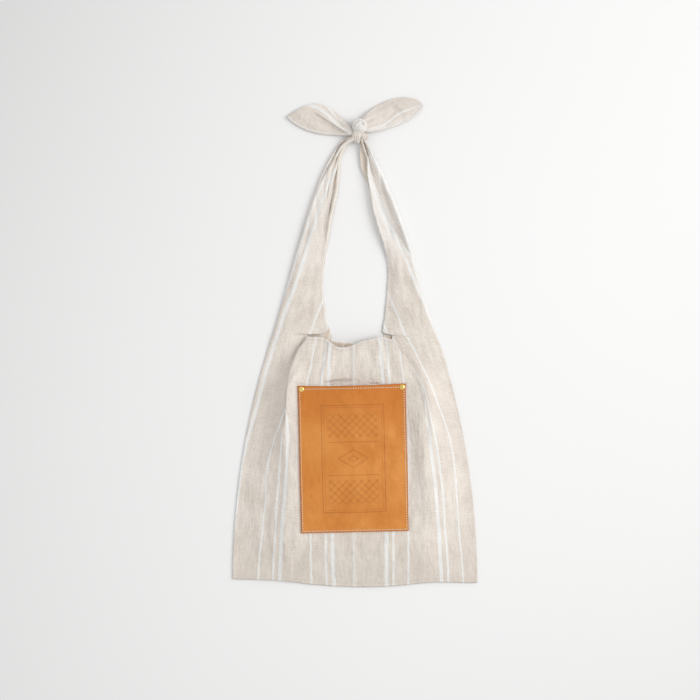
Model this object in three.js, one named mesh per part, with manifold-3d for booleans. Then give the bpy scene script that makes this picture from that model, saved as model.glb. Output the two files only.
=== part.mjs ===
// A linen shoulder bag that lies on its back on a table, as separate named solids.
// Millimetres. +X runs across the bag, +Y from the bottom seam to the knot, +Z up off the table.
// The origin is the middle of the flat back, on the table.

import * as THREE from 'three';
import { mergeVertices } from 'three/addons/utils/BufferGeometryUtils.js';
import Module from 'manifold-3d';

const wasm = await Module();
wasm.setup();
const { degToRad, lerp, smoothstep } = THREE.MathUtils;

// The bag body
const BODY_HEIGHT = 346;
const BOTTOM_WIDTH = 354;
const SHOULDER_WIDTH = 248;
const MOUTH_WIDTH = 90;
const BODY_DEPTH = 20;
const MOUTH_DEPTH = 12;
const CLOTH = 1;
const CLEARANCE = 0.3;
const SIDE_FOLD = 0.6;
const BOTTOM_BOW = 7;
const BOTTOM_ROLL = 70;
const MOUTH_FALL = 50;
const PANEL_WIDTH = 200;
const MOUTH_PANEL_WIDTH = 132;
const PANEL_TAPER = 75;

// Seams and hems
const BOTTOM_SEAM = 8;
const BOTTOM_SEAM_LENGTH = 240;
const SEAM_WIDTH = 10;
const HEM_WIDTH = 7;
const STRAP_HEM = 2.2;

// The leather pocket and its rivets
const POCKET_WIDTH = 155;
const POCKET_HEIGHT = 212;
const POCKET_BELOW_MOUTH = 57;
const POCKET_ASIDE = -2.5;
const POCKET_TILT = 1.3;
const POCKET_GAPE = 5;
const POCKET_DIP = 4;
const POCKET_DIP_LENGTH = 130;
const LEATHER = 2;
const RIVET_INSET = 5;
const RIVET_CAP_RADIUS = 4;
const RIVET_CAP_HEIGHT = 1.6;
const RIVET_RIM = 0.4;
const RIVET_POST_RADIUS = 1.4;
const RIVET_BACK_RADIUS = 3.6;
const RIVET_BACK_HEIGHT = 2.2;
const RIVET_SOCKET_DEPTH = 1.4;

// The straps
const STRAP_DEPTH = 7;
const STRAP_NECK_DEPTH = 9;
const STRAP_EDGE = 2.2;
const STRAP_ROOT_BLEND = 0.3;
const STRAP_NECK_RISE = 0.5;

// The knot
const KNOT_RISE = 316;
const KNOT_ASIDE = 6.5;
const KNOT_TILT = -6.8;
const KNOT_WAIST_RADIUS = 4.2;
const KNOT_LOBE_RADIUS = 7.5;
const KNOT_LOBE_BELOW = 18;
const KNOT_CROWN_RADIUS = 5;
const KNOT_CROWN_HEIGHT = 5;
const WRAP_RADIUS = 10.8;
const WRAP_LENGTH = 17;

// The tails of the knot
const TAIL_ROOT_WIDTH = 12;
const TAIL_TIP_WIDTH = 3;
const TAIL_ROOT_HEIGHT = 8;
const TAIL_DEPTH = 6;
const TAIL_EDGE = 1.6;
const TAIL_SKEW = 1.1;
const TAIL_LAID = 0.4;

// How finely the curved pieces are divided
const BODY_ROWS = 18;
const BODY_COLUMNS = 14;
const POCKET_ROWS = 10;
const POCKET_COLUMNS = 14;
const STRAP_ROWS = 20;
const STRAP_COLUMNS = 8;
const STRAP_HEM_ROWS = 17;
const STRAP_HEM_COLUMNS = 4;
const TAIL_ROWS = 16;
const TAIL_COLUMNS = 8;
const ROUND_STEPS = 20;
const ARC_STEPS = 4;

const BOTTOM_Y = -BODY_HEIGHT / 2;
const MOUTH_Y = BODY_HEIGHT / 2;
const CROWN = BODY_DEPTH + 2 * CLOTH;
const MOUTH_TOP = MOUTH_DEPTH + 2 * CLOTH;
const EDGE = SIDE_FOLD + 2 * CLOTH;
const POCKET_TOP_Y = MOUTH_Y - POCKET_BELOW_MOUTH;
const KNOT = new THREE.Vector3(KNOT_ASIDE, MOUTH_Y + KNOT_RISE, WRAP_RADIUS);
const KNOT_LOBE = new THREE.Vector2(0, -KNOT_LOBE_BELOW)
  .rotateAround(new THREE.Vector2(), degToRad(KNOT_TILT))
  .add(new THREE.Vector2(KNOT.x, KNOT.y));

// How the two straps and tails lie. Ends and roots are measured from the knot, and a pull is how far
// and which way an edge sets out from its end.
const LEFT = {
  side: -1,
  outerRootPull: [39, 120],
  outerNeckPull: [-51, 0],
  outerEnd: [-5, 4],
  innerRootPull: [-6, 79],
  innerNeckPull: [-39, -5],
  innerEnd: [-2.5, -5],
  tailRoot: [-9, -9],
  tailAngle: 165,
  tailLength: 98,
  tailWidth: 43,
  tailBow: -9,
};
const RIGHT = {
  side: 1,
  outerRootPull: [-40, 101],
  outerNeckPull: [64, -88],
  outerEnd: [5, 3],
  innerRootPull: [5, 150],
  innerNeckPull: [1, -129],
  innerEnd: [2.5, -6],
  tailRoot: [10.6, 5.6],
  tailAngle: 16.7,
  tailLength: 85,
  tailWidth: 39,
  tailBow: 4,
};

const linen = new THREE.MeshStandardMaterial({ color: 0xcfc5ba, roughness: 0.9, metalness: 0 });
const hemLinen = new THREE.MeshStandardMaterial({ color: 0xd8d0c6, roughness: 0.9, metalness: 0 });
const leather = new THREE.MeshStandardMaterial({ color: 0xd88c48, roughness: 0.55, metalness: 0 });
const brass = new THREE.MeshStandardMaterial({ color: 0xcda462, roughness: 0.3, metalness: 0.9 });

const group = new THREE.Group();
group.name = 'shoulder_bag';

function addPiece(parent, name, geometry, material) {
  const piece = new THREE.Mesh(geometry, material);
  piece.name = name;
  parent.add(piece);
  return piece;
}

// Six times the signed volume, which is negative when the faces look inward
function signedVolume(geometry) {
  const place = geometry.attributes.position;
  const corners = [new THREE.Vector3(), new THREE.Vector3(), new THREE.Vector3()];
  let sum = 0;
  for (let start = 0; start < geometry.index.count; start += 3) {
    corners.forEach((corner, turn) => corner.fromBufferAttribute(place, geometry.index.getX(start + turn)));
    sum += corners[0].dot(corners[1].clone().cross(corners[2]));
  }
  return sum;
}

function facingOut(geometry) {
  if (signedVolume(geometry) < 0) {
    geometry.setIndex(Array.from(geometry.index.array).reverse());
  }
  return geometry;
}

// Welds a geometry into bare triangles and drops those that have no area
function welded(geometry) {
  const bare = geometry.clone();
  bare.deleteAttribute('normal');
  bare.deleteAttribute('uv');
  const joined = mergeVertices(bare, 1e-4);
  const kept = [];
  for (let start = 0; start < joined.index.count; start += 3) {
    const triangle = [0, 1, 2].map((turn) => joined.index.getX(start + turn));
    if (new Set(triangle).size === 3) {
      kept.push(...triangle);
    }
  }
  joined.setIndex(kept);
  return facingOut(joined);
}

function solidOf(geometry) {
  const bare = welded(geometry);
  return new wasm.Manifold(new wasm.Mesh({
    numProp: 3,
    vertProperties: new Float32Array(bare.attributes.position.array),
    triVerts: new Uint32Array(bare.index.array),
  }));
}

function cut(geometry, ...tools) {
  let body = solidOf(geometry);
  tools.forEach((tool) => {
    body = body.subtract(solidOf(tool));
  });
  const mesh = body.getMesh();
  const result = new THREE.BufferGeometry();
  result.setAttribute('position', new THREE.Float32BufferAttribute(mesh.vertProperties, 3));
  result.setIndex(Array.from(mesh.triVerts));
  return result;
}

// A closed sheet. The plan gives the place of each point, the top and bottom the height of each face.
// All three take the share across and the share along the sheet.
function sheet(rows, columns, plan, top, bottom) {
  const positions = [];
  const index = [];
  const wide = columns + 1;
  const layer = (rows + 1) * wide;
  const quad = (a, b, c, d) => index.push(a, b, c, a, c, d);
  [top, bottom].forEach((height) => {
    for (let row = 0; row <= rows; row += 1) {
      for (let column = 0; column <= columns; column += 1) {
        const place = plan(column / columns, row / rows);
        positions.push(place.x, place.y, height(column / columns, row / rows));
      }
    }
  });
  for (let row = 0; row < rows; row += 1) {
    const near = row * wide;
    const far = near + columns;
    quad(near, near + wide, near + wide + layer, near + layer);
    quad(far, far + layer, far + layer + wide, far + wide);
    for (let column = 0; column < columns; column += 1) {
      const corner = near + column;
      const under = corner + layer;
      quad(corner, corner + 1, corner + 1 + wide, corner + wide);
      quad(under, under + wide, under + wide + 1, under + 1);
    }
  }
  for (let column = 0; column < columns; column += 1) {
    const last = rows * wide + column;
    quad(column, column + layer, column + layer + 1, column + 1);
    quad(last, last + 1, last + 1 + layer, last + layer);
  }
  const geometry = new THREE.BufferGeometry();
  geometry.setAttribute('position', new THREE.Float32BufferAttribute(positions, 3));
  geometry.setIndex(index);
  return facingOut(geometry);
}

// The bag body: a front that is flat over the middle panel and falls to a fold at each side

function shareUp(y) {
  return (y - BOTTOM_Y) / BODY_HEIGHT;
}

function sideHalf(y) {
  return lerp(BOTTOM_WIDTH, SHOULDER_WIDTH, shareUp(y) ** 2) / 2;
}

function panelHalf(y) {
  return lerp(PANEL_WIDTH, MOUTH_PANEL_WIDTH, smoothstep(y, MOUTH_Y - PANEL_TAPER, MOUTH_Y)) / 2;
}

function crownHeight(y) {
  const roll = Math.min((y - BOTTOM_Y) / BOTTOM_ROLL, 1);
  const rise = lerp(EDGE, CROWN, Math.sin((roll * Math.PI) / 2));
  return rise - (CROWN - MOUTH_TOP) * smoothstep(y, MOUTH_Y - MOUTH_FALL, MOUTH_Y);
}

// A smooth hump of height 1 that is 0 from half the length on
function hump(distance, length) {
  const share = Math.min(Math.abs(distance) / (length / 2), 1);
  return Math.cos((share * Math.PI) / 2) ** 2;
}

// Height of the front cloth's outer face above the table
function frontHeight(x, y) {
  const panel = panelHalf(y);
  const out = Math.max(Math.abs(x) - panel, 0) / (sideHalf(y) - panel);
  const drape = lerp(EDGE, crownHeight(y), (1 - Math.min(out, 1)) ** 2);
  const dip = POCKET_DIP * hump(x - POCKET_ASIDE, POCKET_WIDTH) * hump(y - POCKET_TOP_Y, POCKET_DIP_LENGTH);
  return drape - dip;
}

// The bottom edge bows up towards its corners, less and less further up
function bowed(place) {
  const share = Math.max(1 - shareUp(place.y), 0);
  const rise = BOTTOM_BOW * (place.x / sideHalf(BOTTOM_Y)) ** 2 * share ** 2;
  return new THREE.Vector2(place.x, place.y + rise);
}

// The plan of one half of the body: the middle panel takes the first columns and the side the rest
function bodyPlan(side, inner, outer, start, end) {
  const spot = (across, along) => {
    const row = along * BODY_ROWS;
    const y = lerp(BOTTOM_Y, MOUTH_Y, along) + (row === 0 ? start : 0) + (row === BODY_ROWS ? end : 0);
    const panel = panelHalf(y);
    const onPanel = across <= 0.5;
    const x = onPanel
      ? lerp(inner, panel, across * 2)
      : lerp(panel, sideHalf(y) - outer, across * 2 - 1);
    return new THREE.Vector2(side * x, y);
  };
  return { spot, plan: (across, along) => bowed(spot(across, along)) };
}

function halfOfBody(side, drills) {
  const skin = bodyPlan(side, CLEARANCE / 2, 0, 0, 0);
  const hollow = bodyPlan(side, -SEAM_WIDTH, CLOTH, BOTTOM_SEAM, HEM_WIDTH);
  const front = ({ spot }) => (across, along) => {
    const place = spot(across, along);
    return frontHeight(place.x, Math.min(place.y, MOUTH_Y));
  };
  const outside = sheet(BODY_ROWS, BODY_COLUMNS, skin.plan, front(skin), () => 0);
  const ceiling = front(hollow);
  const inside = sheet(
    BODY_ROWS, BODY_COLUMNS, hollow.plan,
    (across, along) => ceiling(across, along) - CLOTH,
    () => CLOTH,
  );
  return cut(outside, inside, ...drills);
}

// Height of the front's outer face as built, straight from one row to the next
function builtHeight(x, y) {
  const row = Math.min(Math.floor(shareUp(y) * BODY_ROWS), BODY_ROWS - 1);
  const low = lerp(BOTTOM_Y, MOUTH_Y, row / BODY_ROWS);
  const high = lerp(BOTTOM_Y, MOUTH_Y, (row + 1) / BODY_ROWS);
  return lerp(frontHeight(x, low), frontHeight(x, high), (y - low) / (high - low));
}

// A straight strip of cloth inside the bag, under the front or on the back
function strip(left, right, low, high, rows, columns, onFront) {
  const spot = (across, along) => new THREE.Vector2(lerp(left, right, across), lerp(low, high, along));
  const plan = (across, along) => bowed(spot(across, along));
  const under = (across, along) => {
    const place = spot(across, along);
    return onFront
      ? builtHeight(place.x, place.y) - 2 * CLOTH - CLEARANCE
      : CLOTH + CLEARANCE;
  };
  return sheet(rows, columns, plan, (across, along) => under(across, along) + CLOTH, under);
}

function addSeamsAndHems() {
  const low = BOTTOM_Y + 2 * BOTTOM_SEAM + 2 * CLEARANCE;
  const high = MOUTH_Y - HEM_WIDTH - CLEARANCE;
  const seam = SEAM_WIDTH / 2;
  const hem = MOUTH_WIDTH / 2;
  const length = BOTTOM_SEAM_LENGTH / 2;
  const allowance = BOTTOM_Y + BOTTOM_SEAM + CLEARANCE;
  addPiece(group, 'front_centre_seam', strip(-seam, seam, low, high, 2 * BODY_ROWS, 2, true), hemLinen);
  addPiece(group, 'back_centre_seam', strip(-seam, seam, low, high, 1, 1, false), hemLinen);
  addPiece(group, 'front_mouth_hem', strip(-hem, hem, MOUTH_Y - HEM_WIDTH, MOUTH_Y, 2, 10, true), hemLinen);
  addPiece(group, 'back_mouth_hem', strip(-hem, hem, MOUTH_Y - HEM_WIDTH, MOUTH_Y, 1, 1, false), hemLinen);
  addPiece(
    group, 'bottom_seam_allowance',
    strip(-length, length, allowance, allowance + BOTTOM_SEAM, 1, 10, false), hemLinen,
  );
}

// The leather pocket lies on the flat middle panel and bows out at its mouth

const pocket = new THREE.Group();
pocket.name = 'pocket';
pocket.position.set(POCKET_ASIDE, POCKET_TOP_Y - POCKET_HEIGHT / 2, CROWN);
pocket.rotation.z = degToRad(POCKET_TILT);
pocket.updateMatrix();
group.add(pocket);

const RIVET_Y = POCKET_HEIGHT / 2 - RIVET_INSET;
const RIVET_X = POCKET_WIDTH / 2 - RIVET_INSET;
const RIVET_BACK_SEAT = -CLOTH - CLEARANCE;
const DRILL_RADIUS = RIVET_POST_RADIUS + CLEARANCE;
const DRILL_LENGTH = 2 * (POCKET_GAPE + LEATHER);

function rivetDrill(side) {
  const drill = new THREE.CylinderGeometry(DRILL_RADIUS, DRILL_RADIUS, DRILL_LENGTH, ROUND_STEPS);
  return drill.rotateX(Math.PI / 2).translate(side * RIVET_X, RIVET_Y, 0);
}

function pocketPanel() {
  const plan = (across, along) => new THREE.Vector2(
    (across - 0.5) * POCKET_WIDTH,
    (along - 0.5) * POCKET_HEIGHT,
  );
  const under = (across, along) => {
    const place = plan(across, along);
    return CLEARANCE + POCKET_GAPE * hump(place.x, POCKET_WIDTH) * along ** 2;
  };
  const over = (across, along) => under(across, along) + LEATHER;
  const panel = sheet(POCKET_ROWS, POCKET_COLUMNS, plan, over, under);
  return cut(panel, rivetDrill(-1), rivetDrill(1));
}

// A solid of revolution about its own Y axis, from its radius and height at each corner
function turned(points) {
  const outline = points.map(([radius, height]) => new THREE.Vector2(radius, height));
  return welded(new THREE.LatheGeometry(outline, ROUND_STEPS));
}

// A quarter of an ellipse from its widest point to the axis
function quarterArc(radius, from, height) {
  const points = [];
  for (let step = 0; step <= ARC_STEPS; step += 1) {
    const turn = ((step / ARC_STEPS) * Math.PI) / 2;
    points.push([step === ARC_STEPS ? 0 : radius * Math.cos(turn), from + height * Math.sin(turn)]);
  }
  return points;
}

// A domed cap with a post that passes through the leather and the cloth into the back
function rivetCap() {
  const seat = LEATHER + 2 * CLEARANCE;
  const tip = RIVET_BACK_SEAT - RIVET_SOCKET_DEPTH + CLEARANCE;
  return turned([
    [0, tip],
    [RIVET_POST_RADIUS, tip],
    [RIVET_POST_RADIUS, seat],
    [RIVET_CAP_RADIUS, seat],
    ...quarterArc(RIVET_CAP_RADIUS, seat + RIVET_RIM, RIVET_CAP_HEIGHT - RIVET_RIM),
  ]).rotateX(Math.PI / 2);
}

// A flat disc with a blind socket for the post, inside the front cloth
function rivetBack() {
  const face = RIVET_BACK_SEAT - RIVET_BACK_HEIGHT;
  return turned([
    [0, face],
    [RIVET_BACK_RADIUS - RIVET_RIM, face],
    [RIVET_BACK_RADIUS, face + RIVET_RIM],
    [RIVET_BACK_RADIUS, RIVET_BACK_SEAT],
    [DRILL_RADIUS, RIVET_BACK_SEAT],
    [DRILL_RADIUS, RIVET_BACK_SEAT - RIVET_SOCKET_DEPTH],
    [0, RIVET_BACK_SEAT - RIVET_SOCKET_DEPTH],
  ]).rotateX(Math.PI / 2);
}

function addPocket() {
  addPiece(pocket, 'pocket_panel', pocketPanel(), leather);
  [[-1, 'left'], [1, 'right']].forEach(([side, name]) => {
    const cap = addPiece(pocket, `${name}_rivet_cap`, rivetCap(), brass);
    const back = addPiece(pocket, `${name}_rivet_back`, rivetBack(), brass);
    cap.position.set(side * RIVET_X, RIVET_Y, 0);
    back.position.set(side * RIVET_X, RIVET_Y, 0);
  });
}

// The knot: a core pinched at its waist, with a turn of cloth round the waist

function placedInKnot(geometry) {
  return geometry.rotateZ(degToRad(KNOT_TILT)).translate(KNOT.x, KNOT.y, KNOT.z);
}

// A grown copy, by the clearance, cuts the seats of the pieces that meet the knot
function knotCore(grow) {
  const half = WRAP_LENGTH / 2;
  const lobe = quarterArc(KNOT_LOBE_RADIUS + grow, -KNOT_LOBE_BELOW, -KNOT_LOBE_RADIUS - grow);
  const crown = quarterArc(KNOT_CROWN_RADIUS + grow, half, KNOT_CROWN_HEIGHT + grow);
  const waist = KNOT_WAIST_RADIUS + grow;
  return placedInKnot(turned([...lobe.reverse(), [waist, -half], [waist, half], ...crown]));
}

function knotWrap(grow) {
  const inner = KNOT_WAIST_RADIUS + CLEARANCE - grow;
  const outer = WRAP_RADIUS + grow;
  const ring = new THREE.EllipseCurve((inner + outer) / 2, 0, (outer - inner) / 2, WRAP_LENGTH / 2 + grow);
  const outline = ring.getPoints(ROUND_STEPS).map((point) => [point.x, point.y]);
  outline[ROUND_STEPS] = outline[0];
  return placedInKnot(turned(outline));
}

// The straps: each carries on the body's side fold and narrows to the knot

function offset(from, [x, y]) {
  return new THREE.Vector2(from.x + x, from.y + y);
}

// An edge of a strap, from the mouth of the bag to the knot
function strapEdge(rootX, rootPull, end, neckPull) {
  const root = new THREE.Vector2(rootX, MOUTH_Y + CLEARANCE);
  const tip = offset(KNOT_LOBE, end);
  return new THREE.CubicBezierCurve(root, offset(root, rootPull), offset(tip, neckPull), tip);
}

function strapFaces(lie) {
  const half = lie.side / 2;
  const outer = strapEdge(half * SHOULDER_WIDTH, lie.outerRootPull, lie.outerEnd, lie.outerNeckPull);
  const inner = strapEdge(half * MOUTH_WIDTH, lie.innerRootPull, lie.innerEnd, lie.innerNeckPull);
  const plan = (across, along) => outer.getPoint(along).lerp(inner.getPoint(along), across);
  const rootTop = (across) => frontHeight(lerp(SHOULDER_WIDTH, MOUTH_WIDTH, across) / 2, MOUTH_Y);
  const face = (way) => (across, along) => {
    const depth = lerp(STRAP_DEPTH, STRAP_NECK_DEPTH, along);
    const thick = lerp(STRAP_EDGE, depth, Math.sqrt(1 - (2 * across - 1) ** 2));
    const middle = lerp(STRAP_DEPTH / 2, KNOT.z, smoothstep(along, STRAP_NECK_RISE, 1));
    const root = way > 0 ? rootTop(across) : 0;
    return lerp(root, middle + (way * thick) / 2, smoothstep(along, 0, STRAP_ROOT_BLEND));
  };
  return { plan, top: face(1), bottom: face(-1) };
}

// A rolled hem along the strap's inner edge, clear of it by the clearance
function strapHem({ plan, top }) {
  const share = STRAP_HEM_ROWS / STRAP_ROWS;
  const beside = (across, along) => {
    const edge = plan(1, along * share);
    const inward = edge.clone().sub(plan(0, along * share)).normalize();
    return edge.addScaledVector(inward, CLEARANCE + across * STRAP_HEM);
  };
  const face = (way) => (across, along) => {
    const round = Math.sqrt(1 - (2 * across - 1) ** 2);
    const middle = top(1, along * share) - STRAP_HEM / 2;
    return middle + (way * lerp(CLOTH, STRAP_HEM, round)) / 2;
  };
  return sheet(STRAP_HEM_ROWS, STRAP_HEM_COLUMNS, beside, face(1), face(-1));
}

function addStrap(lie, name) {
  const faces = strapFaces(lie);
  const strap = sheet(STRAP_ROWS, STRAP_COLUMNS, faces.plan, faces.top, faces.bottom);
  addPiece(group, `${name}_strap`, cut(strap, knotCore(CLEARANCE)), linen);
  addPiece(group, `${name}_strap_hem`, strapHem(faces), hemLinen);
}

// A tail: a leaf of folded cloth that leaves the knot and lies down on the table
function knotTail(lie) {
  const root = offset(KNOT, lie.tailRoot);
  const turn = degToRad(lie.tailAngle);
  const plan = (across, along) => {
    const belly = Math.sin(Math.PI * along ** TAIL_SKEW);
    const taper = lerp(TAIL_ROOT_WIDTH, TAIL_TIP_WIDTH, along);
    const width = lerp(taper, lie.tailWidth, belly);
    const place = new THREE.Vector2(along * lie.tailLength, (across - 0.5) * width + lie.tailBow * belly);
    return place.rotateAround(new THREE.Vector2(), turn).add(root);
  };
  const face = (way) => (across, along) => {
    const depth = lerp(TAIL_DEPTH, TAIL_EDGE, along ** 2);
    const half = lerp(TAIL_EDGE, depth, Math.sqrt(1 - (2 * across - 1) ** 2)) / 2;
    const middle = lerp(TAIL_ROOT_HEIGHT, depth / 2, smoothstep(along, 0, TAIL_LAID));
    return middle + way * half;
  };
  const leaf = sheet(TAIL_ROWS, TAIL_COLUMNS, plan, face(1), face(-1));
  return cut(leaf, knotCore(CLEARANCE), knotWrap(CLEARANCE));
}

function buildBag() {
  const drills = [-1, 1].map((side) => rivetDrill(side).applyMatrix4(pocket.matrix));
  addPiece(group, 'left_half', halfOfBody(-1, [drills[0]]), linen);
  addPiece(group, 'right_half', halfOfBody(1, [drills[1]]), linen);
  addSeamsAndHems();
  addPocket();
  addStrap(LEFT, 'left');
  addStrap(RIGHT, 'right');
  addPiece(group, 'knot_core', knotCore(0), linen);
  addPiece(group, 'knot_wrap', knotWrap(0), linen);
  addPiece(group, 'left_tail', knotTail(LEFT), linen);
  addPiece(group, 'right_tail', knotTail(RIGHT), linen);
}

buildBag();

export default group;
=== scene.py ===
"""A striped linen shoulder bag with knotted straps and a leather pocket, laid on its back."""

import math
from types import SimpleNamespace

import bmesh
import bpy
import numpy as np
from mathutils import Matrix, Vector
from mathutils.bvhtree import BVHTree


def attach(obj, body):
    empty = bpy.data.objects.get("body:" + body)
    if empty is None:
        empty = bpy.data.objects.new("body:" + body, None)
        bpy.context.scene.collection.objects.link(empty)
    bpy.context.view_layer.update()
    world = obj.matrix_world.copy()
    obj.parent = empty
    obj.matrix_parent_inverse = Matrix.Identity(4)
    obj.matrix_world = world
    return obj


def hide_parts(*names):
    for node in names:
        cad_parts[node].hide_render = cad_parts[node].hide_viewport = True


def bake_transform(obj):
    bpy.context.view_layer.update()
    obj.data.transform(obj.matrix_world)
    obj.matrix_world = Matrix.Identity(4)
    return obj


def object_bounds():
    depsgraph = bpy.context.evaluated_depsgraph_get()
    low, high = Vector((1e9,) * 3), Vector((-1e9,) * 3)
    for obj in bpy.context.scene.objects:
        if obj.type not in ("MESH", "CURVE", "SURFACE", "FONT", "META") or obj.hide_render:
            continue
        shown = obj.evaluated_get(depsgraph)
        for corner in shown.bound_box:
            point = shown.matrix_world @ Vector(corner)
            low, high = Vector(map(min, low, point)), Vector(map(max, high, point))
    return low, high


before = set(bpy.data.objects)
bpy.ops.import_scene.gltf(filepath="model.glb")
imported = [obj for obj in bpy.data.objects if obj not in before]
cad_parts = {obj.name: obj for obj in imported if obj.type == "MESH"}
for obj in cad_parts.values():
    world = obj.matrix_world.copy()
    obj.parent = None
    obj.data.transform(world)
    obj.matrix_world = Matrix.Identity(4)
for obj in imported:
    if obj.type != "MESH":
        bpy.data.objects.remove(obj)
cad_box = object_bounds()

# Sizes of the bag in millimetres
BOTTOM_Y = -173
MOUTH_Y = 173
BOTTOM_WIDTH = 354
SHOULDER_WIDTH = 248
MOUTH_WIDTH = 90
CROWN = 22
MOUTH_TOP = 14
EDGE = 2.2
PRESSED_EDGE = 5
SIDE_FALL = 1.4
BOTTOM_ROLL = 70
MOUTH_FALL = 50
MOUTH_LIP = 6
PANEL_WIDTH = 200
MOUTH_PANEL_WIDTH = 132
PANEL_TAPER = 75
KNOT = (6.5, 489, 10.8)
KNOT_TILT = math.radians(-6.8)
KNOT_LOBE_BELOW = 18

# The leather pocket in millimetres
POCKET_WIDTH = 155
POCKET_HEIGHT = 212
POCKET_ASIDE = -2.5
POCKET_Y = 10
POCKET_TOP_Y = 116
POCKET_TILT = math.radians(1.3)
POCKET_LIFT = 0.3
POCKET_GAPE = 5
POCKET_DIP = 4
POCKET_DIP_LENGTH = 130
POCKET_WAVE = 1.2
LEATHER = 2
FRAME_HALF_WIDTH = 45
FRAME_HALF_HEIGHT = 77.5
FRAME_LINE = 0.9
FRAME_GAP = 3.4
RULE_Y = 24
RULE_INSET = 8
LATTICE = 11
LATTICE_Y = 48
LATTICE_HALF_HEIGHT = 17
LATTICE_INSET = 9
DIAMOND_FLATNESS = 0.6
DIAMOND_HALF_HEIGHT = 19
DIAMOND_STEP = 4.5
DIAMOND_CENTRE = 4

# The cloth and its stripes in millimetres
CLOTH = 0.8
WEAVE_PITCH = 0.9
HEM_WIDTH = 5
HEM_HEIGHT = 0.8
SEAM_BAND = 3.2
SEAM_HEIGHT = 0.3
STRIPE_REPEAT = 77.6
STRIPES = ((0, 5.4), (10.4, 3.4), (32.4, 2.8))

# The table, and how far above it the cloth lies in millimetres
MM = 0.001
TABLE = cad_box[0][2] / MM
FRONT_LIFT = 1.8
BACK_LIFT = 0.15
SIDE_LIFT = 0.9
KNOT_LIFT = 0.3


# Curves and small helpers


def lerp(a, b, share):
    return a + (b - a) * share


def smoothstep(low, high, value):
    share = np.clip((value - low) / (high - low), 0, 1)
    return share * share * (3 - 2 * share)


def hump(distance, length):
    """1 in the middle, falling smoothly to 0 at half of length on both sides."""
    return np.cos(np.minimum(np.abs(distance) / (length / 2), 1) * math.pi / 2) ** 2


def bell(off, reach):
    """1 in the middle, falling away softly on both sides."""
    return np.exp(-((off / reach) ** 2))


def through(*points):
    """A smooth function of one number through (place, value) points, level beyond its ends."""
    places, values = np.array(points, float).T
    slopes = np.gradient(values, places)

    def value_at(place):
        place = np.clip(place, places[0], places[-1])
        index = np.clip(np.searchsorted(places, place) - 1, 0, len(places) - 2)
        width = places[index + 1] - places[index]
        t = (place - places[index]) / width
        rest = 1 - t
        return (
            values[index] * (1 + 2 * t) * rest**2
            + slopes[index] * width * t * rest**2
            + values[index + 1] * t**2 * (3 - 2 * t)
            - slopes[index + 1] * width * t**2 * rest
        )

    return value_at


def steady(value):
    """A function of one number that has the same value everywhere."""
    return through((0, value), (1, value))


def bezier(start, start_pull, end_pull, end):
    """A function from 0 to 1 along a curve that leaves start by start_pull and reaches end from end_pull."""
    a, d = np.array(start, float), np.array(end, float)
    b, c = a + start_pull, d + end_pull

    def point_at(t):
        t = np.asarray(t, float)[..., None]
        return a * (1 - t) ** 3 + 3 * b * t * (1 - t) ** 2 + 3 * c * t**2 * (1 - t) + d * t**3

    return point_at


def turned(x, y, angle):
    return x * math.cos(angle) - y * math.sin(angle), x * math.sin(angle) + y * math.cos(angle)


def beside(path, x, y):
    """Distance from a path of points, positive on its left, and the share of the path passed there."""
    path = np.array(path, float)
    steps = np.diff(path, axis=0)
    lengths = np.hypot(*steps.T)
    nearest = np.full(np.shape(x), np.inf)
    signed = np.zeros(np.shape(x))
    passed = np.zeros(np.shape(x))
    before = 0
    for start, step, length in zip(path, steps, lengths):
        t = np.clip(((x - start[0]) * step[0] + (y - start[1]) * step[1]) / length**2, 0, 1)
        off_x = x - start[0] - t * step[0]
        off_y = y - start[1] - t * step[1]
        distance = np.hypot(off_x, off_y)
        side = np.sign(step[0] * off_y - step[1] * off_x)
        closer = distance < nearest
        nearest = np.where(closer, distance, nearest)
        signed = np.where(closer, side * distance, signed)
        passed = np.where(closer, (before + t * length) / lengths.sum(), passed)
        before += length
    return signed, passed


def ends_fade(passed, share=0.25):
    return smoothstep(0, share, passed) * smoothstep(0, share, 1 - passed)


def uneven_ridge(path, height, right_width, left_width, x, y):
    """A soft ridge along a path that may be steeper on one side than on the other."""
    off, passed = beside(path, x, y)
    width = np.where(off > 0, left_width, right_width)
    return height * bell(off, width) * ends_fade(passed)


def ridge(path, height, width, x, y):
    """A soft ridge along a path, or a valley where height is negative."""
    return uneven_ridge(path, height, width, width, x, y)


# Brings the crest of a fold's curve up to its height
FOLD_CREST = 2.3


def fold(path, height, width, x, y):
    """A fold along a path: its left side stands up and its right side lies in a hollow."""
    off, passed = beside(path, x, y)
    return height * FOLD_CREST * off / width * bell(off, width) * ends_fade(passed)


def flap(path, height, reach, x, y, step=1.3):
    """A fold that lies over the cloth on its right.

    Its left side stands up sharply at the path and comes down over reach.
    """
    off, passed = beside(path, x, y)
    stands = smoothstep(-step, 0, off) * np.clip(1 - off / reach, 0, 1) ** 1.5
    return height * stands * ends_fade(passed)


def ripple(x, y, length, seed):
    """Soft uneven waves of about that length, between -1 and 1."""
    total = 0
    for step in range(5):
        angle = seed * 1.7 + step * 2.4
        pace = 2 * math.pi / (length * (0.7 + 0.17 * step))
        total = total + np.sin(pace * (x * math.cos(angle) + y * math.sin(angle)) + seed * 3.1 + step * 1.3)
    return total / 5


def ripples(waves, x, y, seed=0):
    """Waves of several lengths on top of each other."""
    total = 0
    for wave in waves:
        total = total + wave.height * ripple(x * wave.across, y * wave.along, wave.length, wave.seed + seed)
    return total


def creases(across, along, pitch, seed):
    """Long creases that wander along the cloth and come and go: rounded ridges with sharp hollows between."""
    wander = 0.35 * np.sin(along / 47 + seed) + 0.2 * np.sin(along / 19 + 2 * seed)
    waves = np.abs(np.sin(math.pi * (across / pitch + wander))) ** 0.7
    shown = smoothstep(-0.6, 0.8, np.sin(along / 33 + across / 21 + 1.9 * seed))
    return (waves - 0.6) * shown


# Meshes


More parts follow.
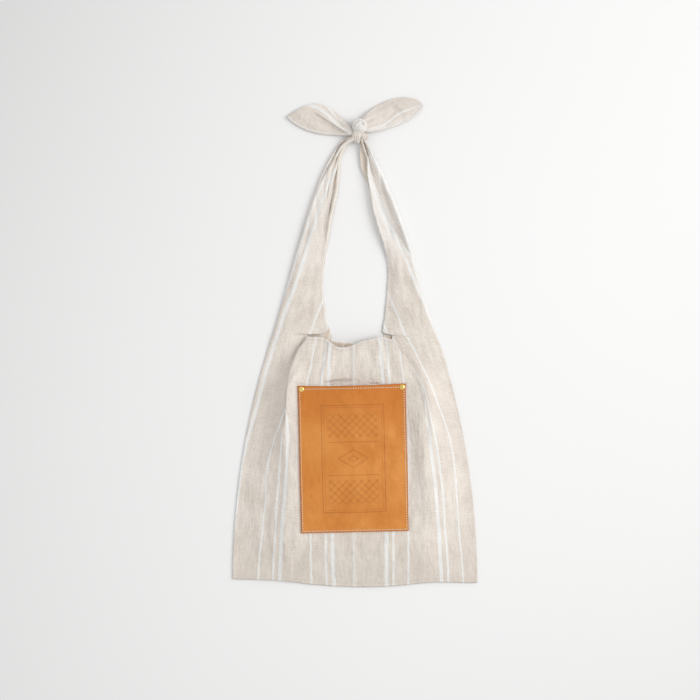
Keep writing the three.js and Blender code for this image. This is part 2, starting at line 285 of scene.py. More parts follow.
def make_object(name, points, faces, attributes, material):
    """A smooth mesh from points in millimetres."""
    mesh = bpy.data.meshes.new(name)
    mesh.from_pydata((np.asarray(points, float) * MM).tolist(), [], faces)
    for key, values in attributes.items():
        layer = mesh.attributes.new(key, "FLOAT", "POINT")
        layer.data.foreach_set("value", np.asarray(values, np.float32).ravel())
    mesh.polygons.foreach_set("use_smooth", [True] * len(mesh.polygons))
    mesh.materials.append(material)
    piece = bpy.data.objects.new(name, mesh)
    bpy.context.collection.objects.link(piece)
    return piece


def settle(piece):
    """Makes what the modifiers show the piece's own mesh."""
    shown = bpy.data.meshes.new_from_object(piece.evaluated_get(bpy.context.evaluated_depsgraph_get()))
    piece.modifiers.clear()
    piece.data = shown
    return piece


def thicken(piece, thickness, inside=None):
    """Gives a surface its thickness on the inner side, which can have a material of its own."""
    solid = piece.modifiers.new("thickness", "SOLIDIFY")
    solid.thickness = thickness * MM
    solid.offset = -1
    if inside is not None:
        piece.data.materials.append(inside)
        solid.material_offset = 1
    return settle(piece)


def grid_faces(index, flip=False):
    """Quads over a table of point numbers."""
    a, b, c, d = index[:-1, :-1], index[:-1, 1:], index[1:, 1:], index[1:, :-1]
    order = (a, d, c, b) if flip else (a, b, c, d)
    return np.stack([part.ravel() for part in order], axis=1).tolist()


# The form of the bag


def side_half(y):
    share = np.clip((y - BOTTOM_Y) / (MOUTH_Y - BOTTOM_Y), 0, 1)
    return lerp(BOTTOM_WIDTH, SHOULDER_WIDTH, share**2) / 2


def panel_half(y):
    return lerp(PANEL_WIDTH, MOUTH_PANEL_WIDTH, smoothstep(MOUTH_Y - PANEL_TAPER, MOUTH_Y, y)) / 2


def crown_height(y):
    rise = np.sin(np.clip((y - BOTTOM_Y) / BOTTOM_ROLL, 0, 1) * math.pi / 2)
    fall = (CROWN - MOUTH_TOP) * smoothstep(MOUTH_Y - MOUTH_FALL, MOUTH_Y, y)
    lip = MOUTH_LIP * smoothstep(MOUTH_Y - MOUTH_LIP, MOUTH_Y + 2 * MOUTH_LIP, y)
    return lerp(EDGE, CROWN, rise) - fall - lip


def front_height(x, y):
    """Height of the front cloth, which falls from the middle panel to the sides."""
    panel = panel_half(y)
    share = np.clip((np.abs(x) - panel) / (side_half(y) - PRESSED_EDGE - panel), 0, 1)
    dip = POCKET_DIP * hump(x - POCKET_ASIDE, POCKET_WIDTH) * hump(y - POCKET_TOP_Y, POCKET_DIP_LENGTH)
    return lerp(EDGE, crown_height(y), (1 - share) ** SIDE_FALL) - dip


bottom_edge = through((-177, -166), (-110, -168), (-59, -174), (75, -174.5), (100, -171.5), (177, -171.5))
mouth_edge = through(
    (-84, 186), (-74, 185.5), (-55, 184.8), (-45, 183.6), (-40, 181.4), (-35, 177), (-29, 172.5),
    (-15, 170), (-3, 173.5), (10, 179), (24, 182.4), (38, 185.3), (46, 183.3), (56, 181.5),
)
back_mouth_edge = through(
    (-70, 188), (-46, 185), (-38, 181.5), (-30, 178.4), (-22, 177.4), (-12, 176.2), (0, 175), (12, 174.5),
    (26, 177), (40, 183), (46, 186), (70, 188),
)
LOBE = np.add(turned(0, -KNOT_LOBE_BELOW, KNOT_TILT), KNOT[:2])

# The two halves of the bag, left and right in the photo, as curves over the height y.
# outer and inner are the lines of a strap's folded side and of its hem, and inset and back_reach move the hem
# of its front and back layer off the inner line. The pleat at the strap's foot has an edge, a depth, ends and
# a radius, and back_edge is its line in the flat back. stripes, first_stripe, outer_cloth and side_slack say
# how the woven stripes lie, and hem_shift moves them at the hem. A strap folds at fold_share of its width.
# Its front is full up to a crest, or dished down to a valley, and roll lifts the hem of its back.
LEFT = SimpleNamespace(
    name="left",
    side=-1,
    outer=bezier((-SHOULDER_WIDTH / 2, MOUTH_Y), (39, 120), (-51, 0), LOBE + (-5, 4)),
    inner=bezier((-MOUTH_WIDTH / 2, MOUTH_Y), (-6, 79), (-39, -5), LOBE + (-2.5, -5)),
    pleat_edge=through(
        (-173, 118), (0, 116), (34, 112), (64, 103), (95, 99.5), (118, 97.6), (142, 93.7), (157, 88),
        (173, 80), (183, 72.5), (187, 71),
    ),
    pleat_depth=through((-173, 0), (25, 0), (60, 11), (110, 22), (150, 20), (170, 12), (182, 5), (188, 4)),
    back_edge=through((-173, 118), (60, 100), (150, 55), (187, 26.5)),
    pleat_ends=(22, 100),
    pleat_radius=1.7,
    stripes=(
        through((-173, 29.9), (-150, 31.5), (-96, 32.5), (116, 38.5), (150, 38), (180, 37), (188, 36.5)),
        through((-173, 40.3), (-150, 41.6), (-96, 42.2), (116, 49.2), (150, 46), (180, 41.6), (188, 40.5)),
        through((-173, 62.3), (-150, 63.6), (-96, 63.8), (116, 69.8), (150, 62.8), (180, 57.5), (188, 56)),
        through(
            (-173, 109.5), (-138, 107.3), (-80, 104.4), (-51, 101.8), (-8, 98.6), (14, 97.2), (65, 97),
            (116, 112), (188, 102),
        ),
    ),
    outer_cloth=through(
        (-173, 176.5), (-138, 180.5), (-109, 183), (-80, 184.5), (-51, 185.5), (-8, 185.5), (36, 188.5),
        (70, 191), (158, 192), (220, 193), (281, 198), (330, 199), (480, 202),
    ),
    side_slack=through(
        (-173, 1), (-138, 1.05), (-80, 1.08), (-51, 1.1), (-8, 1.2), (40, 1.15), (90, 1.06), (190, 1),
    ),
    first_stripe=29.9,
    inset=through(
        (185.8, 23), (187.2, 9), (188.6, 2), (191, -1.8), (194, -4.6), (197.5, -7), (204, -4), (221, -3.5),
        (240, 0), (335, 0), (365, 1.2), (400, 2.2), (425, 3.6), (451, 5.5), (459, 5.5), (466, 3),
    ),
    back_reach=through(
        (173, 9), (182, 10.5), (188, 12.4), (196, 10.5), (204, 6.5), (212, 4), (225, 3.5), (245, 0),
        (300, 0), (325, 2), (360, 4), (384, 6), (408, 6), (425, 2), (441, -2.5), (451, -4), (459, -4),
        (466, -2),
    ),
    strap_start=0.05,
    overlap=1.2,
    fold_share=through((173, 0.6), (400, 0.66), (425, 0.72), (463, 0.62), (480, 0.6)),
    fold_depth=through((173, 3), (400, 3), (440, 5), (480, 3)),
    fold_ends=(395, 425),
    crest=through((173, 0.6), (215, 0.72), (290, 0.8), (400, 0.78), (450, 0.6), (480, 0.5)),
    fullness=through((173, 5), (220, 6), (300, 6.5), (400, 6), (480, 5)),
    roll=through(
        (173, 0), (290, 0), (298, 0), (306, 0.4), (338, 6.2), (350, 6.8), (372, 7), (400, 5.5), (430, 4.5),
        (460, 1), (480, 0),
    ),
    hem_shift=steady(0),
    dished=steady(0),
    valley=steady(0.5),
    edge_stripe_and_highlight=steady(0),
    gathers=3,
)
RIGHT = SimpleNamespace(
    name="right",
    side=1,
    outer=bezier((SHOULDER_WIDTH / 2, MOUTH_Y), (-36, 101), (64, -88), LOBE + (5, 3)),
    inner=bezier((MOUTH_WIDTH / 2, MOUTH_Y), (5, 150), (1, -129), LOBE + (2.5, -6)),
    pleat_edge=through(
        (-173, 116), (0, 112), (54, 107), (111, 99), (144, 84), (173, 64), (180, 59), (187, 57.5),
    ),
    pleat_depth=through((-173, 0), (115, 0), (150, 4), (170, 7), (182, 4), (188, 3.5)),
    back_edge=through((-173, 118), (60, 100), (150, 60), (187, 35)),
    pleat_ends=(110, 178),
    pleat_radius=1.1,
    stripes=(
        through((-173, 46), (-94, 45), (115, 40.4), (150, 38.6), (180, 36), (188, 35)),
        through((-173, 55.6), (-94, 55.2), (115, 50.4), (150, 47.6), (180, 45), (188, 44.3)),
        through((-173, 77.2), (-94, 76.8), (115, 72), (150, 67), (180, 64), (188, 63)),
        through(
            (-173, 125), (-124, 122.4), (-80, 121), (-37, 116), (7, 110.2), (50, 105.8), (94, 104.2),
            (123, 102.5), (188, 98),
        ),
    ),
    outer_cloth=through(
        (-173, 175.5), (-124, 179), (-80, 181.5), (-37, 178.5), (7, 175.5), (41, 178.5), (80, 184),
        (125, 189), (180, 199), (239, 206), (267, 211), (297, 213.5), (343, 219), (360, 222), (400, 224),
        (480, 224),
    ),
    side_slack=through(
        (-173, 1.02), (-124, 1.06), (-80, 1.1), (-37, 1.06), (7, 1), (50, 1.1), (85, 1.08), (125, 1),
        (190, 1),
    ),
    first_stripe=45,
    inset=through(
        (187.2, 10), (188.4, 1), (190, -4), (196, -5.4), (211, -3), (238, 1), (264, 6), (285, 9.5),
        (305, 11.5), (350, 9), (404, 10.5), (440, 12), (456, 10), (472, 4),
    ),
    back_reach=through(
        (173, 3), (190, 4), (211, 2), (238, -1), (264, -6), (285, -9.5), (305, -11.5), (350, -9), (404, -8),
        (418, -3), (432, 0),
    ),
    strap_start=0.033,
    overlap=0,
    fold_share=through((173, 0.78), (316, 0.77), (353, 0.81), (399, 0.68), (436, 0.42), (480, 0.35)),
    fold_depth=through((173, 2), (310, 2), (340, 7), (400, 9), (450, 4), (480, 2)),
    fold_ends=(430, 450),
    crest=through((173, 0.6), (238, 0.5), (290, 0.4), (400, 0.4), (450, 0.45), (480, 0.5)),
    fullness=through((173, 5), (238, 5), (310, 7), (400, 7), (480, 5)),
    roll=steady(0),
    hem_shift=through((173, 8), (250, 8), (260, 7.5), (300, 1), (320, 0), (330, 0), (480, 0)),
    dished=through(
        (173, 0), (280, 0), (288, 0), (297, 0.06), (318, 0.6), (334, 0.96), (345, 1), (400, 1), (410, 0.95),
        (445, 0.06), (455, 0), (480, 0),
    ),
    valley=through((300, 0.72), (319, 0.67), (335, 0.58), (359, 0.47), (384, 0.39), (403, 0.3), (446, 0.3)),
    # Pale stripe with painted highlight along the strap's raised outer edge.
    edge_stripe_and_highlight=through(
        (173, 0), (222, 0), (230, 0.05), (252, 0.9), (262, 0.95), (410, 0.95), (420, 0.9), (450, 0.3),
    ),
    gathers=2.5,
)

# How fine the cloth is cut, in rows and columns of its grid
BODY_ROWS = 220
SEAM_COLUMNS = 10
PANEL_COLUMNS = 60
TURN_COLUMNS = 5
RETURN_COLUMNS = 5
HEM_SIDE_COLUMNS = 18
FOLD_SIDE_COLUMNS = 16
STRAP_ROWS = 160

# Powers that bring a strap's rows closer at the mouth, and its columns closer at the hem and the folded side
ROW_SPACING = 1.15
HEM_SIDE_SPACING = 1.2
FOLD_SIDE_SPACING = 1.4

TURN = np.linspace(0, math.pi, TURN_COLUMNS + 2)[1:-1]
RETURN = np.linspace(0, 1, RETURN_COLUMNS)
PLEAT_LAYERS = np.concatenate([1 - np.cos(TURN), 2 + 0 * RETURN, 3 - np.cos(TURN)])
PLEAT_COLUMNS = len(PLEAT_LAYERS)
SIDE_COLUMNS = HEM_SIDE_COLUMNS + PLEAT_COLUMNS + FOLD_SIDE_COLUMNS
SEAM_SHARE = 0.07
CLOSER = 2.2
CLOSER_REACH = 0.035

# Forms of the body's cloth: lengths in millimetres, paleness from 0 to 1
BODY_SPREAD = 7
SIDE_CALM = 0.75
SIDE_ROLL = 5
STRAP_MEETS_Y = 115
POCKET_HOLD = (-2, 8)
BOTTOM_CALM = 40
BOTTOM_SHARE = 0.25
SEAM_PALE = 0.85
MOUTH_HEM_HIGHLIGHT = 0.35

# Forms of the straps' cloth
STRAP_SPREAD = 2.5
STRAP_FOLD_RADIUS = 0.6
STRAP_LIFT = 1.9
KNOT_RISE = 7
KNOT_RISE_START = 0.78
BACK_RISE_SHARE = 0.75
STRAP_HEM_HEIGHT = 1.1
STRAP_HEM_MIDDLE = 1.5
STRAP_HEM_REACH = 1.4
GATHER_HEIGHT = 2.2
GATHER_SHARES = (0.7, 0.95)
EDGE_CALM = 0.12
HEM_CALM = (-1, 5)
DISH_DEPTH = 7.2
VALLEY_BEND = 0.04
VALLEY_TUCK = 10
ROLL_WIDTH = 7
ROLL_PALE = 0.9
EDGE_ROUND = 0.3
STRAP_PALE = 0.3
STRAP_HEM_HIGHLIGHT = 0.45
EDGE_PALE_WIDTH = 7


def pleated(end, edge, depth, radius, folded, spread, before, after):
    """Places across a pleated cloth, and how far each lies below the top layer.

    The cloth runs from 0 to end, and the upper edge of its pleat is at edge. folded is 0 where the cloth lies
    flat and 1 where it is pleated. before and after are the shares at which the cloth on both sides of the
    pleat is cut into columns.
    """
    flat = np.linspace(-spread, spread, PLEAT_COLUMNS + 2)[1:-1]
    spread_out = np.concatenate(
        [before * (edge - spread), edge + flat, lerp(edge + spread, end, after)], axis=1
    )
    crease = edge - depth
    tucked = np.concatenate(
        [
            before * (edge - radius),
            edge - radius + radius * np.sin(TURN),
            lerp(edge - radius, crease + radius, RETURN),
            crease + radius - radius * np.sin(TURN),
            lerp(crease + radius, end, after),
        ],
        axis=1,
    )
    place = lerp(spread_out, tucked, folded)
    layers = np.concatenate([0 * before, PLEAT_LAYERS, 4 + 0 * after])
    beyond = np.where(layers >= 4, 1 - smoothstep(0, 1, (place - edge) / (end - edge)), 1)
    return place, radius * layers * folded * beyond


def closer_round(place, count):
    """Shares from 0 to 1 that lie closer together round one place."""
    even = np.linspace(0, 1, 400)
    passed = np.cumsum(1 + CLOSER * bell(even - place, CLOSER_REACH))
    passed = (passed - passed[0]) / (passed[-1] - passed[0])
    return np.interp(np.linspace(0, 1, count), passed, even)


def outer_at(half, y):
    """How far out the folded side of the bag and its strap is at that height."""
    line = half.outer(np.linspace(0, 1, 400))
    rising = np.maximum.accumulate(line[:, 1])
    return np.where(y <= MOUTH_Y, side_half(y), np.interp(y, rising, np.abs(line[:, 0])))


# Folds, ridges and creases of the cloth: paths over the bag, each with its height or depth and its width
BODY_FOLDS = (
    (((-112, 120), (-128, 60), (-140, -40)), 0.9, 12),
    (((-96, 40), (-104, -60), (-110, -140)), 0.7, 9),
    (((-150, 30), (-158, -60)), 0.6, 8),
    (((56, 186), (70, 165), (84, 144), (99, 112), (106, 60), (108, 10)), 2.2, 9),
    (((108, 90), (122, 30), (128, -60)), -0.9, 11),
    (((90, -10), (98, -110)), -0.6, 8),
    (((140, 40), (152, -60), (150, -120)), 0.7, 10),
    (((-60, -112), (0, -118), (60, -110)), -0.6, 7),
    (((-40, 178), (-44, 150), (-52, 122)), 1.0, 5),
    (((-28, 172), (-30, 150), (-36, 124)), -0.8, 4),
    (((-14, 170), (-17, 140), (-10, 120)), -0.6, 6),
    (((22, 176), (26, 146), (20, 122)), 0.7, 7),
    (((40, 180), (47, 150), (52, 124)), -0.7, 5),
)
PLEAT_RIDGES = (
    (
        ((80, 156), (91, 135), (97, 108), (98, 64), (102, 21), (106, -22), (112, -66), (117, -110)),
        9.0, 13, 90,
    ),
    (((-70, 185), (-84, 165), (-91, 151), (-100, 108), (-103, 64), (-105, 21), (-106, 0)), 8.0, 13, 14),
)
BUCKLE = (
    (((-48, 117), (-36, 119), (-26, 120), (-16, 120.8), (-2, 122.6)), 5.5, 2.0),
    (((-48, 114), (-38, 115.4), (-26, 116.4), (-16, 116.8)), 4.0, 1.4),
    (((18, 116.6), (28, 117.4), (36, 117.6)), 2.0, 1.2),
)
BODY_CREASES = (
    (((41, 190), (42, 172), (45, 152), (48, 134)), 1.8, 2.6),
    (((-46, 196), (-44, 176), (-50, 150)), 1.0, 2.4),
    (((-20, 178), (-22, 150), (-18, 130)), 0.8, 2.4),
    (((112, 60), (120, 0), (118, -70)), 1.2, 4),
    (((-118, -20), (-126, -90), (-122, -150)), 1.0, 4),
    (((30, -104), (34, -140), (28, -176)), 0.7, 3),
    (((-34, -102), (-28, -136), (-36, -176)), 0.7, 3),
)
BODY_RIPPLES = (
    SimpleNamespace(height=0.8, across=1, along=0.45, length=60, seed=1),
    SimpleNamespace(height=0.6, across=1, along=0.6, length=26, seed=2),
    SimpleNamespace(height=0.34, across=1, along=0.7, length=11, seed=3),
)
LONG_CREASES = SimpleNamespace(height=1.6, pitch=34, seed=5)
FOLD_STRENGTH = 1.3


def body_wrinkles(x, y):
    """Soft creases of the front cloth, which the pocket holds flat."""
    total = LONG_CREASES.height * creases(x, y, LONG_CREASES.pitch, LONG_CREASES.seed)
    total = total + ripples(BODY_RIPPLES, x, y)
    for path, height, width in BODY_FOLDS:
        total = total + fold(path, FOLD_STRENGTH * height, width, x, y)
    for path, depth, width in BODY_CREASES:
        total = total + ridge(path, -depth, width, x, y)
    for path, height, right_width, left_width in PLEAT_RIDGES:
        total = total + uneven_ridge(path, height, right_width, left_width, x, y)
    local_x, local_y = turned(x - POCKET_ASIDE, y - POCKET_Y, -POCKET_TILT)
    outside = np.maximum(np.abs(local_x) - POCKET_WIDTH / 2, np.abs(local_y) - POCKET_HEIGHT / 2)
    rolled = smoothstep(0, BOTTOM_CALM, y - BOTTOM_Y)
    total = total * smoothstep(*POCKET_HOLD, outside) * lerp(BOTTOM_SHARE, 1, rolled)
    for path, depth, width in BUCKLE:
        total = total + ridge(path, -depth, width, x, y)
    return total


def body_front(half, x, y, outer, from_top, on_panel):
    """Height of the front cloth with its wrinkles, its mouth hem and its centre seam."""
    hem = HEM_HEIGHT * (1 - smoothstep(HEM_WIDTH - 1.5, HEM_WIDTH + 0.5, from_top))
    seam = SEAM_HEIGHT * (1 + half.overlap) * (1 - smoothstep(SEAM_BAND, 3 * SEAM_BAND, x))
    calm = 1 - smoothstep(SIDE_CALM, 1, x / outer)
    cloth = front_height(half.side * x, y) + body_wrinkles(half.side * x, y) * calm
    return cloth + (hem + seam) * on_panel


def striped(half, level, x):
    """Where the front panel lies in the cloth, from where its stripes run."""
    woven = half.first_stripe + np.array([start for start, width in STRIPES] + [STRIPE_REPEAT])
    lines = np.concatenate([stripe(level) for stripe in half.stripes], axis=1)
    within = np.stack([np.interp(places, line, woven) for places, line in zip(x, lines)])
    return within + np.minimum(x - lines[:, :1], 0) + np.maximum(x - lines[:, -1:], 0)


def body_grid(half, front, strap):
    """One face of a half as a grid of points and cloth coordinates, from the centre seam to the side."""
    pocket_top = (POCKET_TOP_Y - BOTTOM_Y) / (strap.y[0, 0] - BOTTOM_Y)
    rows = closer_round(pocket_top, BODY_ROWS)[:, None]
    level = lerp(BOTTOM_Y, strap.y[0, 0], rows)
    outer_level = lerp(BOTTOM_Y, strap.y[0, -1], rows)
    outer = outer_at(half, outer_level)
    seam_shares = np.linspace(0, SEAM_SHARE, SEAM_COLUMNS)[:-1]
    panel = np.concatenate([seam_shares, np.linspace(SEAM_SHARE, 1, PANEL_COLUMNS - SEAM_COLUMNS + 1)])
    edge = half.pleat_edge(level) if front else half.back_edge(level)
    folded = smoothstep(*half.pleat_ends, level) * front
    x, drop = pleated(
        outer, edge, half.pleat_depth(level), half.pleat_radius, folded, BODY_SPREAD, panel, strap.shares
    )

    if front:
        x = x - half.overlap * (1 - smoothstep(0, 4 * SEAM_BAND, x))
    panel_x, side_x = x[:, :PANEL_COLUMNS], x[:, -SIDE_COLUMNS:]
    tucked = np.linspace(0, 1, PLEAT_COLUMNS + 2)[1:-1]
    if front:
        panel_top = mouth_edge(half.side * panel_x[-1])
        pleat_top = lerp(panel_top[-1], strap.y[0, 0], smoothstep(0.75, 1, tucked))
    else:
        panel_top = back_mouth_edge(half.side * panel_x[-1])
        pleat_top = back_mouth_edge(half.side * x[-1, PANEL_COLUMNS:-SIDE_COLUMNS])
    top = np.concatenate([panel_top, pleat_top, strap.y[0]])[None, :]
    y = lerp(bottom_edge(half.side * x[:1]), top, rows)

    if front:
        panel_cloth = striped(half, level, panel_x)
        side_cloth = half.outer_cloth(outer_level) - (outer - side_x) * half.side_slack(level)
        pleat_cloth = lerp(panel_cloth[:, -1:], side_cloth[:, :1], tucked)
        cloth = np.concatenate([panel_cloth, pleat_cloth, side_cloth], axis=1)
    else:
        cloth = half.outer_cloth(outer_level) + outer - x

    on_panel = np.arange(x.shape[1]) < PANEL_COLUMNS
    from_top = top - y
    if front:
        z = np.maximum(body_front(half, x, y, outer, from_top, on_panel) - drop, TABLE + FRONT_LIFT)
    else:
        z = TABLE + BACK_LIFT + SIDE_LIFT * smoothstep(-SIDE_ROLL, 0, x - outer)
    to_strap = smoothstep(STRAP_MEETS_Y, strap.y[0, 0], level) ** 2
    z[:, -SIDE_COLUMNS:] = lerp(z[:, -SIDE_COLUMNS:], strap.z[:1], to_strap)
    beside_seam = smoothstep(0.2, 1, x) * (1 - smoothstep(SEAM_BAND - 0.6, SEAM_BAND + 0.6, x))
    # Painted highlight: the front panel's rolled mouth hem is painted paler.
    at_mouth = (1 - smoothstep(1.5, 3.5, from_top)) * on_panel * front
    pale = np.maximum(SEAM_PALE * beside_seam * (half.side < 0), MOUTH_HEM_HIGHLIGHT * at_mouth)
    return SimpleNamespace(x=half.side * x, y=y, z=z, cloth=cloth, pale=pale)


STRAP_FOLDS = {
    "left": (
        (((-30, 440), (-46, 390), (-62, 340), (-70, 310)), 1.2, 5),
        (((-60, 330), (-78, 270), (-98, 215)), -0.9, 7),
        (((-52, 300), (-62, 240), (-64, 205)), 0.9, 6),
        (((-84, 262), (-96, 225), (-104, 196)), 0.7, 6),
        (((-36, 400), (-46, 360), (-50, 330)), -1.0, 3.5),
    ),
    "right": (
        (((30, 440), (36, 426), (50, 387)), -1.4, 3.5),
        (((26, 408), (44, 362), (60, 322)), 1.1, 4),
        (((20, 392), (31, 350), (38, 318)), -0.9, 4),
        (((42, 330), (52, 270), (50, 215)), 0.9, 6),
        (((70, 290), (92, 235), (108, 196)), 0.9, 8),
        (((62, 300), (70, 260), (72, 220)), -0.8, 5),
    ),
}
STRAP_CREASES = {
    "left": (
        (((-2, 478), (-17, 466), (-22.5, 461.5), (-33.4, 439.3), (-42.4, 424.5), (-56, 398)), 5.5, 1.4),
        (((-2, 474), (-15, 463), (-21.8, 453), (-27, 443), (-33, 426), (-38, 406), (-44, 370)), 4.5, 1.4),
        (((-58, 372), (-70, 330), (-80, 290)), 0.9, 2.0),
    ),
    "right": (
        (((30.6, 440), (37, 419), (40.3, 403), (45, 385), (49.2, 369), (55, 356)), 4.0, 2.4),
        (((19.3, 446), (25.8, 420.6), (30.6, 402.8), (37.8, 386.7)), 2.5, 1.6),
        (((10, 472), (14, 463), (16, 456), (19, 442)), 8.0, 2.4),
        (((40, 372), (49, 344), (56, 318)), 1.0, 2.0),
    ),
}
STRAP_RIPPLES = (
    SimpleNamespace(height=0.4, across=1.6, along=0.5, length=40, seed=4),
    SimpleNamespace(height=0.2, across=1.4, along=0.6, length=13, seed=6),
)


def strap_wrinkles(half, x, y, off_hem):
    """Long soft creases of the front cloth of a strap, with the folds that cross it."""
    total = ripples(STRAP_RIPPLES, x, y, half.side)
    total = total + creases(off_hem, y, 13, 2 + half.side) * lerp(0.8, 1.5, smoothstep(260, 420, y))
    for path, height, width in STRAP_FOLDS[half.name]:
        total = total + fold(path, height, width, x, y)
    for path, depth, width in STRAP_CREASES[half.name]:
        total = total + ridge(path, -depth, width, x, y)
    return total


def strap_front(half, height, rounded):
    """How far a strap's front swells: full towards its outer side, or dished between two raised edges."""
    crest, valley = half.crest(height), half.valley(height)
    up_to_crest = np.sin(math.pi / 2 * np.minimum(rounded / crest, 1))
    beyond_crest = np.cos(math.pi / 2 * np.clip((rounded - crest) / (1 - crest), 0, 1)) ** EDGE_ROUND
    full = half.fullness(height) * np.where(rounded < crest, up_to_crest, beyond_crest)
    up_to_hem = np.maximum(1 - rounded / valley, 0) ** 1.3
    beyond_valley = np.sin(math.pi * np.clip((rounded - valley) / (1 - valley), 0, 1) ** 2.4)
    dish = DISH_DEPTH * np.where(rounded < valley, up_to_hem, beyond_valley)
    return lerp(full, dish, half.dished(height))


def past_valley(half, height, rounded):
    """0 on the hem's side of a dished strap's valley and 1 beyond it."""
    valley = half.valley(height)
    return smoothstep(valley - VALLEY_BEND, valley + VALLEY_BEND, rounded)


def strap_pale(half, height, y, rounded, from_hem, from_edge):
    """How pale a strap is at its hem, towards the knot, at its outer edge and beside its valley; the hem, the
    edge and the cloth beside the valley carry painted highlights.
    """
    # Painted highlight on the strap's rolled hem.
    hem = STRAP_HEM_HIGHLIGHT * (1 - smoothstep(1.2, 2.6, from_hem))
    upper = STRAP_PALE * smoothstep(240, 380, y)
    # The outer edge's pale stripe, painted brighter as a highlight where the raised edge catches the light.
    edge = half.edge_stripe_and_highlight(height) * (1 - smoothstep(EDGE_PALE_WIDTH - 2, EDGE_PALE_WIDTH, from_edge))
    valley = half.valley(height)
    # The pale stripe beside a dished strap's valley, with painted highlight on the lit cloth between it and
    # the hem.
    stripe_and_painted_highlight = lerp(0.5, 0.95, smoothstep(valley - 0.35, valley - 0.15, rounded))
    stripe_and_painted_highlight = stripe_and_painted_highlight * half.dished(height) * (1 - past_valley(half, height, rounded))
    return np.maximum(np.maximum(hem, upper), np.maximum(edge, stripe_and_painted_highlight))


def strap_grid(half, front):
    """One layer of a strap as a grid of points with cloth coordinates, from its hem to its folded side."""
    t = lerp(half.strap_start, 1, np.linspace(0, 1, STRAP_ROWS) ** ROW_SPACING)[:, None]
    inner, outer = half.inner(t[:, 0]), half.outer(t[:, 0])
    height, outer_height = inner[:, 1:], outer[:, 1:]
    across = outer - inner
    width = np.hypot(*across.T)[:, None]
    uneven = 0.8 * ripple(height, 0 * height, 31, 5 + half.side + front)
    uneven = uneven + 0.4 * ripple(height, 0 * height, 12, 3 + front)
    uneven = uneven * smoothstep(0, 0.1, t)
    inset = (np.minimum(half.inset(height), 0.5 * width) if front else -half.back_reach(height)) + uneven
    clear = width - inset
    folded = smoothstep(*half.fold_ends, height) * front
    before = np.linspace(0, 1, HEM_SIDE_COLUMNS) ** HEM_SIDE_SPACING
    after = 1 - (1 - np.linspace(0, 1, FOLD_SIDE_COLUMNS)) ** FOLD_SIDE_SPACING
    edge = half.fold_share(height) * clear
    depth = np.minimum(half.fold_depth(height), 0.5 * edge)
    spread = np.minimum(STRAP_SPREAD, 0.12 * clear)
    off_hem, drop = pleated(clear, edge, depth, STRAP_FOLD_RADIUS, folded, spread[0, 0], before, after)
    share = (inset + off_hem) / width
    x = inner[:, :1] + across[:, :1] * share
    y = inner[:, 1:] + across[:, 1:] * share
    rounded = off_hem / clear
    from_hem = np.abs(beside(np.concatenate([x[:, :1], y[:, :1]], axis=1), x, y)[0])
    pale = strap_pale(half, height, y, rounded, from_hem, clear - off_hem)
    tucked = VALLEY_TUCK * half.dished(height) * past_valley(half, height, rounded)
    cloth = half.outer_cloth(outer_height) - clear + off_hem + tucked
    cloth = cloth + half.hem_shift(height) * (1 - rounded) ** 2
    rise = KNOT_RISE * smoothstep(KNOT_RISE_START, 1, t)
    if front:
        hem = STRAP_HEM_HEIGHT * bell(from_hem - STRAP_HEM_MIDDLE, STRAP_HEM_REACH)
        gathered = np.abs(np.sin(math.pi * (half.gathers * rounded + 0.15))) ** 0.6 - 0.5
        wrinkles = strap_wrinkles(half, x, y, off_hem)
        wrinkles = wrinkles + GATHER_HEIGHT * gathered * smoothstep(*GATHER_SHARES, t)
        wrinkles = wrinkles * smoothstep(0, EDGE_CALM, 1 - rounded) * smoothstep(*HEM_CALM, off_hem)
        z = TABLE + STRAP_LIFT + rise + strap_front(half, height, rounded) + wrinkles + hem - drop
        z = np.maximum(z, TABLE + FRONT_LIFT)
    else:
        cloth = 2 * half.outer_cloth(outer_height) - cloth
        rolled = half.roll(height) * hump(off_hem - ROLL_WIDTH / 3, ROLL_WIDTH)
        pale = np.maximum(pale, ROLL_PALE * smoothstep(0, 3, rolled))
        z = TABLE + BACK_LIFT + rise * BACK_RISE_SHARE + SIDE_LIFT * smoothstep(0.9, 1, rounded) + rolled
    return SimpleNamespace(x=x, y=y, z=z, cloth=cloth, pale=pale, shares=off_hem[0] / clear[0])


def cloth_half(half, material, inside):
    """One half of the bag with its strap, front and back in one sheet folded round the side."""
    grids, numbers = [], []
    count = 0
    for front in (True, False):
        strap = strap_grid(half, front)
        body = body_grid(half, front, strap)
        columns = body.x.shape[1]
        body_numbers = count + np.arange(BODY_ROWS * columns).reshape(BODY_ROWS, columns)
        count += body_numbers.size
        strap_numbers = count + np.arange(STRAP_ROWS * SIDE_COLUMNS).reshape(STRAP_ROWS, SIDE_COLUMNS)
        count += strap_numbers.size
        strap_numbers[0] = body_numbers[-1, -SIDE_COLUMNS:]
        for part in ("x", "y", "z"):
            getattr(body, part)[-1, -SIDE_COLUMNS:] = getattr(strap, part)[0]
        grids += [body, strap]
        numbers.append((body_numbers, strap_numbers))
    (front_body, front_strap), (back_body, back_strap) = numbers
    back_body[:, -1] = front_body[:, -1]
    back_body[0] = front_body[0]
    back_strap[0] = back_body[-1, -SIDE_COLUMNS:]
    back_strap[:, -1] = front_strap[:, -1]
    left = half.side < 0
    faces = grid_faces(front_body, left) + grid_faces(front_strap, left)
    faces += grid_faces(back_body, not left) + grid_faces(back_strap, not left)

    def joined(part):
        return np.concatenate([getattr(grid, part).ravel() for grid in grids])

    points = np.stack([joined("x"), joined("y"), joined("z")], axis=1)
    across = joined("cloth") - half.first_stripe
    attributes = {"across": across, "along": points[:, 1], "pale": joined("pale")}
    piece = make_object(f"{half.name}_cloth", points, faces, attributes, material)
    drop_loose(piece)
    return thicken(piece, CLOTH, inside)


def drop_loose(piece):
    """Removes the points that no face uses."""
    made = bmesh.new()
    made.from_mesh(piece.data)
    bmesh.ops.delete(made, geom=[point for point in made.verts if not point.link_faces], context="VERTS")
    made.to_mesh(piece.data)
    made.free()


# Materials


